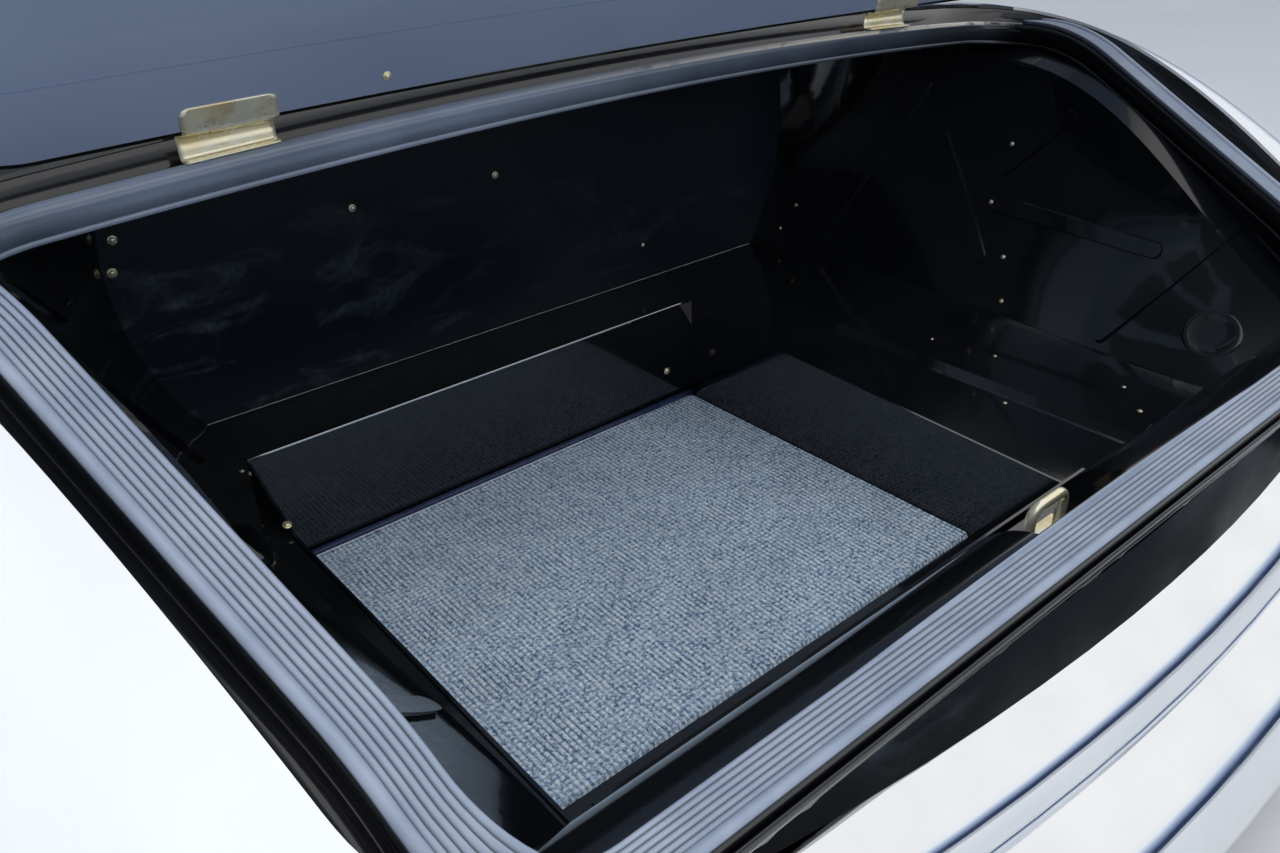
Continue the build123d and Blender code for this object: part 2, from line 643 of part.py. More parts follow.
# Rubber seal along the sides and the rear of the opening
with BuildPart() as boot_seal:
    bulb_start = SEAT_WIDTH - SEAL_BULB_WIDTH
    groove_top = under_seat(-SEAL_RIB_HEIGHT - GAP)
    groove_foot = under_seat(-SEAL_BASE)
    add(layer(under_seat(-SEAL_RIB_HEIGHT), under_seat(-GAP), seat_prism, opening_prism))
    add(layer(under_seat(-SEAL_HEIGHT), under_seat(-GAP), seat_prism, plan_prism(bulb_start, 0, bulb_start)))
    for groove in range(1, SEAL_GROOVES + 1):
        near = groove * SEAL_GROOVE_PITCH
        far = near + SEAL_GROOVE_WIDTH
        ring = layer(groove_top, groove_foot, plan_prism(far, 0, far), plan_prism(near, -1, near))
        add(ring, mode=Mode.SUBTRACT)
    add(slab(-FAR, FAR, SEAL_FRONT_Y, 0, LOW_Z, HIGH_Z), mode=Mode.SUBTRACT)
finish(boot_seal.part, "boot_seal")

# Underframe
with BuildPart() as front_crossmember:
    with BuildSketch(Plane.YZ.offset(-MEMBER_HALF)):
        top_z = FLOOR_Z - SHEET - GAP
        with Locations((-MEMBER_DEPTH / 2, (top_z + MEMBER_BOTTOM_Z) / 2)):
            Rectangle(MEMBER_DEPTH, top_z - MEMBER_BOTTOM_Z)
            hollow_height = top_z - MEMBER_BOTTOM_Z - 2 * CHASSIS_WALL
            Rectangle(MEMBER_DEPTH - 2 * CHASSIS_WALL, hollow_height, mode=Mode.SUBTRACT)
    extrude(amount=2 * MEMBER_HALF)
finish(front_crossmember.part, "front_crossmember")

for name, sign in (("right", 1), ("left", -1)):
    with BuildPart() as chassis_rail:
        with BuildSketch(Plane.XZ.offset(MEMBER_DEPTH + GAP)):
            with Locations((sign * RAIL_X, FLOOR_Z - SHEET - GAP - CHASSIS_HEIGHT / 2)):
                Rectangle(CHASSIS_WIDTH, CHASSIS_HEIGHT)
                Rectangle(
                    CHASSIS_WIDTH - 2 * CHASSIS_WALL, CHASSIS_HEIGHT - 2 * CHASSIS_WALL, mode=Mode.SUBTRACT
                )
        extrude(amount=-CHASSIS_REAR_Y - MEMBER_DEPTH - GAP)
    finish(chassis_rail.part, f"chassis_rail_{name}")


def bumper_piece(section):
    """One chrome section, turned about the bow's centre and then about each corner's centre."""
    outward = Vector(sin(radians(BUMPER_HALF_ANGLE)), -cos(radians(BUMPER_HALF_ANGLE)), 0)
    bow_centre = Vector(0, BUMPER_Y + BUMPER_R, 0)
    corner_centre = bow_centre + outward * (BUMPER_R - BUMPER_CORNER_R)
    with BuildPart(mode=Mode.PRIVATE) as half_bar:
        with BuildSketch(Plane(bow_centre, x_dir=(0, -1, 0), z_dir=(-1, 0, 0))):
            with Locations((BUMPER_R, 0)):
                add(section)
        revolve(axis=Axis(bow_centre, (0, 0, 1)), revolution_arc=BUMPER_HALF_ANGLE)
        with BuildSketch(Plane(corner_centre, x_dir=outward, z_dir=outward.cross(Vector(0, 0, 1)))):
            with Locations((BUMPER_CORNER_R, 0)):
                add(section)
        revolve(axis=Axis(corner_centre, (0, 0, 1)), revolution_arc=BUMPER_CORNER_ANGLE)
    return half_bar.part


# Bumper: an upper roll and a deeper blade with a groove between, drawn outward from the bow
with BuildSketch() as roll_section:
    with BuildLine():
        roll_face = ThreePointArc((0, ROLL_TOP_Z), (34, 138), (ROLL_DEPTH, 103))
        Line(roll_face @ 1, (GROOVE_DEPTH, GROOVE_Z + GROOVE_HALF))
        offset(amount=CHROME, side=Side.RIGHT, kind=Kind.INTERSECTION)
    make_face()

with BuildSketch() as blade_section:
    with BuildLine():
        blade_lip = Line((GROOVE_DEPTH, GROOVE_Z - GROOVE_HALF), (58, 86))
        blade_face = ThreePointArc(blade_lip @ 1, (97, 62), (BLADE_DEPTH, 14))
        ThreePointArc(blade_face @ 1, (98, -44), (58, BLADE_BOTTOM_Z))
        offset(amount=CHROME, side=Side.RIGHT, kind=Kind.INTERSECTION)
    make_face()

for name, section in (("bumper_roll", roll_section), ("bumper_blade", blade_section)):
    half_bar = bumper_piece(section.sketch)
    with BuildPart() as bumper:
        add(half_bar)
        add(mirror(half_bar, about=Plane.YZ))
    finish(bumper.part, name)

# Flat irons from inside the chassis rails, through the tail panel, to the back of the blade
for name, sign in (("right", 1), ("left", -1)):
    with BuildPart() as bumper_iron:
        near = sign * RAIL_X - IRON_THICK / 2
        far = sign * RAIL_X + IRON_THICK / 2
        low = IRON_Z - IRON_HEIGHT / 2
        high = IRON_Z + IRON_HEIGHT / 2
        add(slab(near, far, IRON_END_Y, CHASSIS_REAR_Y + IRON_OVERLAP, low, high))
        add(bumper.part, mode=Mode.SUBTRACT)
        foot_y = CHASSIS_REAR_Y + IRON_OVERLAP
        inside = CHASSIS_WIDTH / 2 - CHASSIS_WALL - GAP
        add(slab(sign * RAIL_X - inside, sign * RAIL_X + inside, foot_y, foot_y + IRON_THICK, low, high))
    finish(largest(bumper_iron.part), f"bumper_iron_{name}")

# Tail lamps on the rear faces of the wings: a bezel and a domed lens
for name, sign in (("right", 1), ("left", -1)):
    turn = asin((LAMP_X - TAIL_CORNER_X) / TAIL_CORNER_R)
    wall_y = tail_corner_y() - TAIL_CORNER_R * cos(turn)
    outward = Vector(sign * sin(turn), -cos(turn), 0)
    lamp_plane = Plane((sign * LAMP_X, wall_y, LAMP_Z), x_dir=(0, 0, 1), z_dir=outward)
    with BuildPart() as lamp_base:
        with BuildSketch(lamp_plane.offset(-2)):
            Circle(LAMP_R)
        extrude(amount=2 + LAMP_BASE)
        with BuildSketch(lamp_plane.offset(LAMP_BASE - LAMP_SEAT)):
            Circle(LAMP_R - LAMP_RIM)
        extrude(amount=LAMP_SEAT, mode=Mode.SUBTRACT)
        add(outer_body, mode=Mode.SUBTRACT)
    finish(lamp_base.part, f"lamp_base_{name}")
    with BuildPart() as lamp:
        with BuildSketch(lamp_plane.offset(LAMP_BASE - LAMP_SEAT)):
            Circle(LAMP_R - LAMP_RIM - GAP)
        extrude(amount=LAMP_SEAT + LAMP_DOME)
        fillet(lamp.faces().sort_by(Axis(lamp_plane.origin, outward))[-1].edges(), LAMP_DOME - 2)
    finish(lamp.part, f"tail_lamp_{name}")

# Hinge halves, drawn with the lid shut; their leaves follow the crown of the panels
hinge_y = OPEN_FRONT_Y + LID_FRONT_GAP + HINGE_KNUCKLE_R
hinge_z = SEAT_TOP_Z + LID_LIFT + LID_THICK - HINGE_X**2 / (2 * CROWN_R) + HINGE_RISE
hinge_axis = Axis((0, hinge_y, hinge_z), (1, 0, 0))
knuckle = HINGE_WIDTH / 3
body_riser_y = hinge_y + 1.6
lid_riser_y = hinge_y - 2.5


def opened(part):
    """A piece of the lid, turned from shut to open."""
    return part.rotate(hinge_axis, -LID_OPEN_ANGLE)


def hinge_barrel(centre_x, width, radius):
    """A length of the hinge's barrel."""
    with BuildPart(mode=Mode.PRIVATE) as barrel:
        with Locations(Pos(centre_x, hinge_y, hinge_z) * Rot(0, 90, 0)):
            Cylinder(radius, width)
    return barrel.part


lid_underside = under_seat(-LID_LIFT)
leaf_top = under_seat(GAP - LID_LIFT)
leaf_bottom = under_seat(GAP - LID_LIFT + HINGE_PLATE)
for name, sign in (("right", 1), ("left", -1)):
    centre_x = sign * HINGE_X
    low_x = centre_x - HINGE_WIDTH / 2
    high_x = centre_x + HINGE_WIDTH / 2
    outer_knuckles = [centre_x - knuckle, centre_x + knuckle]
    with BuildPart() as hinge_body:
        foot = slab(low_x, high_x, OPEN_FRONT_Y, body_riser_y + HINGE_PLATE, LOW_Z, HIGH_Z)
        add(layer(under_seat(-GAP - HINGE_PLATE), under_seat(-GAP), foot, None))
        riser = slab(low_x, high_x, body_riser_y, body_riser_y + HINGE_PLATE, LOW_Z, hinge_z)
        add(riser - under_seat(-GAP))
        add(hinge_barrel(centre_x, knuckle + GAP, HINGE_KNUCKLE_R + 1.5), mode=Mode.SUBTRACT)
        for knuckle_x in outer_knuckles:
            add(hinge_barrel(knuckle_x, knuckle - GAP, HINGE_KNUCKLE_R))
        add(hinge_barrel(centre_x, HINGE_WIDTH, HINGE_PIN_R))
    finish(hinge_body.part, f"hinge_body_{name}")
    with BuildPart() as hinge_lid:
        leaf = slab(low_x, high_x, lid_riser_y - HINGE_LEAF_LENGTH, lid_riser_y, LOW_Z, HIGH_Z)
        add(layer(leaf_top, leaf_bottom, leaf, None))
        riser = slab(low_x, high_x, lid_riser_y - HINGE_PLATE, lid_riser_y, LOW_Z, hinge_z)
        add(riser - leaf_bottom)
        for knuckle_x in outer_knuckles:
            add(hinge_barrel(knuckle_x, knuckle + GAP, HINGE_KNUCKLE_R + 1), mode=Mode.SUBTRACT)
        add(hinge_barrel(centre_x, knuckle - GAP, HINGE_KNUCKLE_R))
        add(hinge_barrel(centre_x, knuckle, HINGE_PIN_R + HINGE_PIN_PLAY), mode=Mode.SUBTRACT)
    finish(opened(hinge_lid.part), f"hinge_lid_{name}")

# Lid: outer skin with a turned-down edge over a pressed inner frame with two braces
lid_side = gutter_side - LID_GAP
lid_rear = gutter_rear - 1


def lid_prism(inset):
    """The lid's plan outline, drawn smaller by inset."""
    return plan_prism(lid_side - inset, LID_FRONT_GAP - inset, lid_rear - inset)


with BuildPart() as lid_skin:
    add(layer(under_lid(0), under_lid(SHEET), lid_prism(0), None))
    add(layer(under_lid(SHEET / 2), lid_underside, lid_prism(0), lid_prism(SHEET)))
finish(opened(lid_skin.part), "lid_skin")

frame_top = under_lid(SHEET + GAP)
frame_tray = under_seat(-LID_LIFT - SHEET)
field_foot = under_seat(-LID_LIFT - LID_CREASE_DEPTH)
field_tray = under_seat(-LID_LIFT - LID_CREASE_DEPTH - SHEET)


def window_prism(inset):
    """The cut-out in the middle of the lid's frame, drawn smaller by inset."""
    side = LID_FRAME_WIDTH + inset
    return plan_prism(lid_side - side, LID_FRONT_GAP - LID_FRAME_FRONT - inset, lid_rear - side)


frame_inner = window_prism(0)
with BuildPart() as lid_frame:
    add(layer(frame_top, lid_underside, lid_prism(SHEET + GAP), frame_inner))
    add(layer(field_foot, lid_underside, lid_prism(LID_CREASE_WIDTH), None), mode=Mode.SUBTRACT)
    edge_tray = layer(frame_top, frame_tray, lid_prism(2 * SHEET + GAP), lid_prism(LID_CREASE_WIDTH - SHEET))
    add(edge_tray, mode=Mode.SUBTRACT)
    add(layer(frame_top, field_tray, lid_prism(LID_CREASE_WIDTH), window_prism(-SHEET)), mode=Mode.SUBTRACT)
    for sign in (-1, 1):
        low_x = sign * LID_BRACE_X - LID_BRACE_WIDTH / 2
        high_x = sign * LID_BRACE_X + LID_BRACE_WIDTH / 2
        brace = slab(low_x, high_x, -FAR, 0, LOW_Z, HIGH_Z) & frame_inner
        groove = slab(low_x + SHEET, high_x - SHEET, -FAR, 0, LOW_Z, HIGH_Z)
        add(layer(frame_top, field_foot, brace, None) - layer(frame_top, field_tray, groove, None))
finish(opened(lid_frame.part), "lid_frame")

with BuildPart() as lid_latch:
    latch_rear = STRIKER_Y - LATCH_DEPTH / 2
    latch_front = STRIKER_Y + LATCH_DEPTH / 2
    slot_top = LATCH_BOTTOM_Z + LATCH_SLOT_HEIGHT
    low_x = STRIKER_X - LATCH_HALF
    high_x = STRIKER_X + LATCH_HALF
    add(slab(low_x, high_x, latch_rear, latch_front, LATCH_BOTTOM_Z, HIGH_Z))
    low_x = STRIKER_X - LATCH_SLOT_HALF
    high_x = STRIKER_X + LATCH_SLOT_HALF
    add(slab(low_x, high_x, latch_rear - 1, latch_front - SHEET, LOW_Z, slot_top), mode=Mode.SUBTRACT)
    add(under_seat(GAP - LID_LIFT - LID_CREASE_DEPTH), mode=Mode.INTERSECT)
finish(opened(lid_latch.part), "lid_latch")


def raised_pad(half, front_y, rear_y, corner, low, high):
    """A block with rounded plan corners that follows the lid's outer face."""
    with BuildPart(mode=Mode.PRIVATE) as pad:
        with BuildSketch(Plane.XY.offset(LOW_Z)):
            with Locations((0, (front_y + rear_y) / 2)):
                RectangleRounded(2 * half, front_y - rear_y, corner)
        extrude(amount=HIGH_Z - LOW_Z)
    return layer(under_lid(-high), under_lid(-low), pad.part, None)


handle = raised_pad(HANDLE_HALF, HANDLE_FRONT_Y, HANDLE_REAR_Y, HANDLE_CORNER_R, GAP, HANDLE_RISE)
finish(opened(handle), "lid_handle")
plate = raised_pad(PLATE_HALF, PLATE_FRONT_Y, PLATE_REAR_Y, PLATE_CORNER_R, GAP, GAP + PLATE_THICK)
finish(opened(plate), "number_plate")
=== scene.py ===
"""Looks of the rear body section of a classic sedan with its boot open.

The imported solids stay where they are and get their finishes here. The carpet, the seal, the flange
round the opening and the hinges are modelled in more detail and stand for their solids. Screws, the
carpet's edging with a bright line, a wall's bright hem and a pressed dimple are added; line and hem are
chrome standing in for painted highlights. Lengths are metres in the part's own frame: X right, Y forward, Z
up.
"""

import json
import math

import bpy
import numpy as np
from mathutils import Euler, Matrix, Vector
from mathutils.bvhtree import BVHTree


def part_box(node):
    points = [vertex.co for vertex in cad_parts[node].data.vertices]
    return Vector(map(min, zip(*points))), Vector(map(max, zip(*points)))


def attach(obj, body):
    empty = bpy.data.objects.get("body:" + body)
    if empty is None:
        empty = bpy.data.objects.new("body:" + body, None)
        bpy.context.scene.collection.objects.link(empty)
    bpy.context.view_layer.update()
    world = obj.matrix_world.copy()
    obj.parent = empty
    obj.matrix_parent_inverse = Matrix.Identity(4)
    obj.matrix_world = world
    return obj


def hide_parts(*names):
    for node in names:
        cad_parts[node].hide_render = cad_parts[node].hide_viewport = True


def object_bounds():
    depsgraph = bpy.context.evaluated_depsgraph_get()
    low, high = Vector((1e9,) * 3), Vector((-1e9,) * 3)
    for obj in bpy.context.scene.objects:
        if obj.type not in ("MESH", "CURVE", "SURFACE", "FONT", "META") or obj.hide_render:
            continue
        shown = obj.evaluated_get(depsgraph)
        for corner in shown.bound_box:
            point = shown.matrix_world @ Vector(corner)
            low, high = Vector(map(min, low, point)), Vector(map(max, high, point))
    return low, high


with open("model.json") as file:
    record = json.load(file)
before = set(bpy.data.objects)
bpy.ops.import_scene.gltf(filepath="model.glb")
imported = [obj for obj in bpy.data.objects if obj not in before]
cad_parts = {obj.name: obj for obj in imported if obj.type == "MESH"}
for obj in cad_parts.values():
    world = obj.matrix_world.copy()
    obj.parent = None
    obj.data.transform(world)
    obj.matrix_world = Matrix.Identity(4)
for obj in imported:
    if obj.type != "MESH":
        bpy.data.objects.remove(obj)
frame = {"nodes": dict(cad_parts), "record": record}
cad_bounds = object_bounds()
NODES = frame["nodes"]

# Camera, worked out from the photograph of the open boot
CAMERA_PLACE = (-0.7385, -1.1515, 0.677)
CAMERA_TURN = Euler([math.radians(degrees) for degrees in (60.467, 1.401, -40.273)], "XYZ")
CAMERA_LENS = 28.835
SENSOR_WIDTH = 36.0
PHOTO_WIDTH = 1280
PHOTO_HEIGHT = 853

# Opening of the boot in plan, at the inner edge of its flange
OPEN_FRONT_Y = -0.268
OPEN_REAR_Y = -0.844
OPEN_FRONT_HALF = 0.685
OPEN_REAR_HALF = 0.567
FRONT_CORNER_R = 0.065
REAR_CORNER_R = 0.070

# Flange: level, bent down into a straight slope and bent down again, with its crown and widths
SEAT_TOP_Z = 0.468
SEAT_BEND_Y = -0.345
SEAT_BEND_R = 0.262
SEAT_SLOPE = math.radians(26)
SEAT_SLOPE_END_Y = -0.734
SEAT_TAIL_R = 0.225
SILL_Z = 0.190
SILL_FLAT_Y = -0.790
CROWN_R = 9.0
SEAT_WIDTH = 0.039
FRONT_SEAT_WIDTH = 0.014
GUTTER_WIDTH = 0.024
FRONT_GUTTER_WIDTH = 0.021
REAR_GUTTER_WIDTH = 0.006
GUTTER_DEPTH = 0.015
LIP_DEPTH = 0.026
LIP_FADE = 0.03  # run over which the lip gets shallow where the rear rail begins
SHEET = 0.003
GAP = 0.0003
TAIL_LIMIT = 0.999  # share of its radius where the flange's last bend stops, just before it is upright

# Points on each stretch of the opening's outline
CORNER_POINTS = 14
STRAIGHT_POINTS = 54


def clamped(value, low=0.0, high=1.0):
    """A value kept between two limits."""
    return min(max(value, low), high)


def link(obj):
    """Put a new object into the scene."""
    bpy.context.scene.collection.objects.link(obj)
    return obj


def grid_faces(rows, columns, closed=False):
    """Faces over a grid of points stored row by row; closed joins each row's end to its start."""
    faces = []
    for row in range(rows - 1):
        for column in range(columns if closed else columns - 1):
            beside = (column + 1) % columns
            here = row * columns
            faces.append((here + column, here + beside, here + columns + beside, here + columns + column))
    return faces


def mesh_piece(name, points, faces, body, finish):
    """A new smooth-shaded piece that rides on a body."""
    mesh = bpy.data.meshes.new(name)
    mesh.from_pydata([tuple(p) for p in points], [], faces)
    mesh.validate()
    mesh.shade_smooth()
    mesh.materials.append(finish)
    obj = link(bpy.data.objects.new(name, mesh))
    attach(obj, body)
    return obj


def point_value(obj, name, values):
    """Store one number a point, for a finish to read."""
    layer = obj.data.attributes.new(name, "FLOAT", "POINT")
    layer.data.foreach_set("value", np.asarray(values, dtype=np.float32))


def joined(shapes):
    """Several shapes, each its points and faces, as one."""
    points, faces = [], []
    for shape_points, shape_faces in shapes:
        start = len(points)
        points.extend(shape_points)
        faces.extend(tuple(start + i for i in face) for face in shape_faces)
    return points, faces


def photo_ray(tree, px, py):
    """Where the camera's ray through a pixel of the photograph meets a surface, and its normal."""
    focal = CAMERA_LENS / SENSOR_WIDTH * PHOTO_WIDTH
    ray = Vector((px - PHOTO_WIDTH / 2, PHOTO_HEIGHT / 2 - py, -focal)).normalized()
    ray.rotate(CAMERA_TURN)
    place, normal, _, _ = tree.ray_cast(Vector(CAMERA_PLACE), ray)
    return place, normal if normal.dot(ray) < 0 else -normal


def turned_cap(place, normal, section, top, sides):
    """A round form on a surface, turned from a section of reaches and lifts, with a point on top."""
    turn = normal.to_track_quat("Z", "Y").to_matrix()
    points = []
    for reach, lift in section:
        for side in range(sides):
            angle = 2 * math.pi * side / sides
            points.append(place + turn @ Vector((reach * math.cos(angle), reach * math.sin(angle), lift)))
    points.append(place + normal * top)
    faces = grid_faces(len(section), sides, closed=True)
    last = (len(section) - 1) * sides
    faces += [(last + side, last + (side + 1) % sides, len(points) - 1) for side in range(sides)]
    return points, faces


def rounded_corner(radius, steps):
    """Points round a square corner, as their distances from its two sides."""
    angles = [math.pi / 2 * step / steps for step in range(steps + 1)]
    return [(radius * (1 - math.cos(angle)), radius * (1 - math.sin(angle))) for angle in angles]


def bar(section, start_x, end_x, parts=24):
    """A closed section of Y and Z points, run along X, with closed ends."""
    count = len(section)
    points = []
    for part in range(parts + 1):
        x = start_x + (end_x - start_x) * part / parts
        points.extend((x, y, z) for y, z in section)
    faces = grid_faces(parts + 1, count, closed=True)
    faces.append(tuple(reversed(range(count))))
    faces.append(tuple(parts * count + i for i in range(count)))
    return points, faces


def thicken(obj, thickness):
    """Give a sheet its thickness on the side of its normals, with closed edges."""
    solid = obj.modifiers.new("thickness", "SOLIDIFY")
    solid.thickness = thickness
    solid.offset = 1.0
    solid.use_even_offset = True


# Shapes of the opening


def seat_profile(y, drop):
    """Height of the flange on the centreline, lowered square to itself by drop."""
    bend_end_y = SEAT_BEND_Y - SEAT_BEND_R * math.sin(SEAT_SLOPE)
    bend_end_z = SEAT_TOP_Z - SEAT_BEND_R * (1 - math.cos(SEAT_SLOPE))
    tail_start_z = bend_end_z + (SEAT_SLOPE_END_Y - bend_end_y) * math.tan(SEAT_SLOPE)
    tail_y = SEAT_SLOPE_END_Y + SEAT_TAIL_R * math.sin(SEAT_SLOPE)
    tail_z = tail_start_z - SEAT_TAIL_R * math.cos(SEAT_SLOPE)
    bend_r = SEAT_BEND_R - drop
    tail_r = SEAT_TAIL_R - drop
    if y > SEAT_BEND_Y:
        return SEAT_TOP_Z - drop
    if y > SEAT_BEND_Y - bend_r * math.sin(SEAT_SLOPE):
        return SEAT_TOP_Z - SEAT_BEND_R + math.sqrt(bend_r**2 - (SEAT_BEND_Y - y) ** 2)
    if y > tail_y - tail_r * math.sin(SEAT_SLOPE):
        return bend_end_z - drop / math.cos(SEAT_SLOPE) + (y - bend_end_y) * math.tan(SEAT_SLOPE)
    return tail_z + math.sqrt(tail_r**2 - min(tail_y - y, tail_r * TAIL_LIMIT) ** 2)


def seat_height(x, y, drop=0.0):
    """Height of the crowned flange's top, lowered square to itself by drop."""
    axis_z = SEAT_TOP_Z - CROWN_R
    height = axis_z + math.sqrt((seat_profile(y, drop) - axis_z) ** 2 - x**2)
    return max(height, SILL_Z - drop) if y < SILL_FLAT_Y else height


def lip_depth(y):
    """How deep the inner lip hangs: full along the sides, a sheet's edge over the rear rail."""
    return SHEET + (LIP_DEPTH - SHEET) * clamped((y - SILL_FLAT_Y) / LIP_FADE)


def corner_arc(corner, before, after, radius):
    """Points round a corner of an outline, from the corner before it towards the one after it."""
    back = (before - corner).normalized()
    ahead = (after - corner).normalized()
    half_angle = back.angle(ahead) / 2
    centre = corner + (back + ahead).normalized() * radius / math.sin(half_angle)
    start = corner + back * radius / math.tan(half_angle) - centre
    turn = 2 * half_angle - math.pi
    angles = [turn * step / (CORNER_POINTS - 1) for step in range(CORNER_POINTS)]
    return [centre + Matrix.Rotation(angle, 2) @ start for angle in angles]


def opening_ring(side, front, rear):
    """The opening's plan outline, grown by the three distances, clockwise from the front right corner."""
    front_y = OPEN_FRONT_Y + front
    rear_y = OPEN_REAR_Y - rear
    taper = (OPEN_FRONT_HALF - OPEN_REAR_HALF) / (OPEN_FRONT_Y - OPEN_REAR_Y)
    front_half = OPEN_FRONT_HALF + side + taper * front
    rear_half = OPEN_REAR_HALF + side - taper * rear
    corners = (
        (Vector((front_half, front_y)), FRONT_CORNER_R), (Vector((rear_half, rear_y)), REAR_CORNER_R),
        (Vector((-rear_half, rear_y)), REAR_CORNER_R), (Vector((-front_half, front_y)), FRONT_CORNER_R),
    )
    arcs = []
    for index, (corner, radius) in enumerate(corners):
        before = corners[index - 1][0]
        after = corners[(index + 1) % len(corners)][0]
        arcs.append(corner_arc(corner, before, after, radius + side))
    ring = []
    for arc, following in zip(arcs, arcs[1:] + arcs[:1]):
        ring.extend(arc)
        for step in range(1, STRAIGHT_POINTS + 1):
            ring.append(arc[-1].lerp(following[0], step / (STRAIGHT_POINTS + 1)))
    return ring


def swept_rows(rows, stations=None):
    """Points of a profile swept round the opening.

    A row holds side, front and rear offsets, a lift, and a share of the lip's depth.
    """
    points = []
    for side, front, rear, lift, lip in rows:
        ring = opening_ring(side, front, rear)
        for index in stations or range(len(ring)):
            x, y = ring[index]
            points.append((x, y, seat_height(x, y, lip * lip_depth(y) - lift)))
    return points


def node_tree_of(*names):
    """A search tree over the faces of CAD nodes, for casting rays."""
    points, polygons = [], []
    for name in names:
        mesh = NODES[name].data
        start = len(points)
        points.extend(v.co.copy() for v in mesh.vertices)
        polygons.extend([start + i for i in p.vertices] for p in mesh.polygons)
    return BVHTree.FromPolygons(points, polygons)


# Materials, with a noise's scale in waves a metre and a bump's distance in metres

WHITE = (0.86, 0.87, 0.88)
WHITE_DUST = (0.62, 0.60, 0.56)
BLACK = (0.0035, 0.0042, 0.0055)
BLACK_DUST = (0.26, 0.30, 0.34)
SHADE_BLACK = (0.006, 0.0065, 0.008)
RIM_DUST = (0.30, 0.32, 0.35)
LINING_DUST = (0.30, 0.33, 0.38)
SPECK_STRENGTH = 3.0
PALE_STREAK_STRENGTH = 0.34
DECK_BLACK_Y = -0.200
LID_INSIDE_NORMAL_Y = -0.35

# Colour sockets of a Mix node, whose names its other types share
MIX_FIRST = 6
MIX_SECOND = 7
MIX_RESULT = 2


def new_finish(name):
    """An empty material: the material, its node tree and its shader."""
    made = bpy.data.materials.new(name)
    made.use_nodes = True
    tree = made.node_tree
    return made, tree, tree.nodes["Principled BSDF"]


def feed(tree, socket, value):
    """Set a socket to a number or colour, or link it to another node's output."""
    if isinstance(value, bpy.types.NodeSocket):
        tree.links.new(value, socket)
    else:
        socket.default_value = value


def dress(tree, shader, colour, roughness, normal):
    """Feed a shader its colour, its roughness and its fine surface."""
    feed(tree, shader.inputs["Base Color"], colour)
    feed(tree, shader.inputs["Roughness"], roughness)
    feed(tree, shader.inputs["Normal"], normal)


def add_node(tree, kind, inputs=None, **settings):
    """A node with its settings and inputs."""
    node = tree.nodes.new(kind)
    for key, value in settings.items():
        setattr(node, key, value)
    for key, value in (inputs or {}).items():
        feed(tree, node.inputs[key], value)
    return node


def noise_map(tree, scale, detail=2.0, stretch=(1, 1, 1), distortion=0.0):
    """Noise over the piece's own coordinates."""
    place = add_node(tree, "ShaderNodeTexCoord").outputs["Object"]
    mapped = add_node(tree, "ShaderNodeMapping", {"Vector": place, "Scale": stretch}).outputs["Vector"]
    inputs = {"Vector": mapped, "Scale": scale, "Detail": detail, "Distortion": distortion}
    return add_node(tree, "ShaderNodeTexNoise", inputs).outputs["Fac"]


def rgba(value):
    """A grey or a colour with full opacity; another node's output stays as it is."""
    if isinstance(value, float):
        return value, value, value, 1
    return (*value, 1) if isinstance(value, tuple) else value


def ramp(tree, value, *stops):
    """A colour ramp; each stop is a place and a grey or a colour."""
    node = add_node(tree, "ShaderNodeValToRGB", {"Fac": value})
    elements = node.color_ramp.elements
    while len(elements) < len(stops):
        elements.new(0.5)
    for element, (place, colour) in zip(elements, stops):
        element.position = place
        element.color = rgba(colour)
    return node.outputs["Color"]


def mixed(tree, factor, first, second):
    """A mix of two colours."""
    inputs = {"Factor": factor, MIX_FIRST: rgba(first), MIX_SECOND: rgba(second)}
    return add_node(tree, "ShaderNodeMix", inputs, data_type="RGBA").outputs[MIX_RESULT]


def maths(tree, operation, *values):
    """A math node over numbers and other nodes' outputs."""
    return add_node(tree, "ShaderNodeMath", dict(enumerate(values)), operation=operation).outputs[0]


def product(tree, first, *others):
    """Numbers and other nodes' outputs, multiplied together."""
    for other in others:
        first = maths(tree, "MULTIPLY", first, other)
    return first


def bump(tree, height, strength, distance, below=None):
    """A bump node over an earlier one."""
    node = add_node(tree, "ShaderNodeBump", {"Height": height, "Strength": strength, "Distance": distance})
    if below is not None:
        tree.links.new(below, node.inputs["Normal"])
    return node.outputs["Normal"]


def own_place(tree, axis):
    """One of the piece's own coordinates."""
    place = add_node(tree, "ShaderNodeTexCoord").outputs["Object"]
    return add_node(tree, "ShaderNodeSeparateXYZ", {"Vector": place}).outputs[axis]


def point_number(tree, name):
    """A number that the piece stores at its points."""
    return add_node(tree, "ShaderNodeAttribute", attribute_name=name).outputs["Fac"]


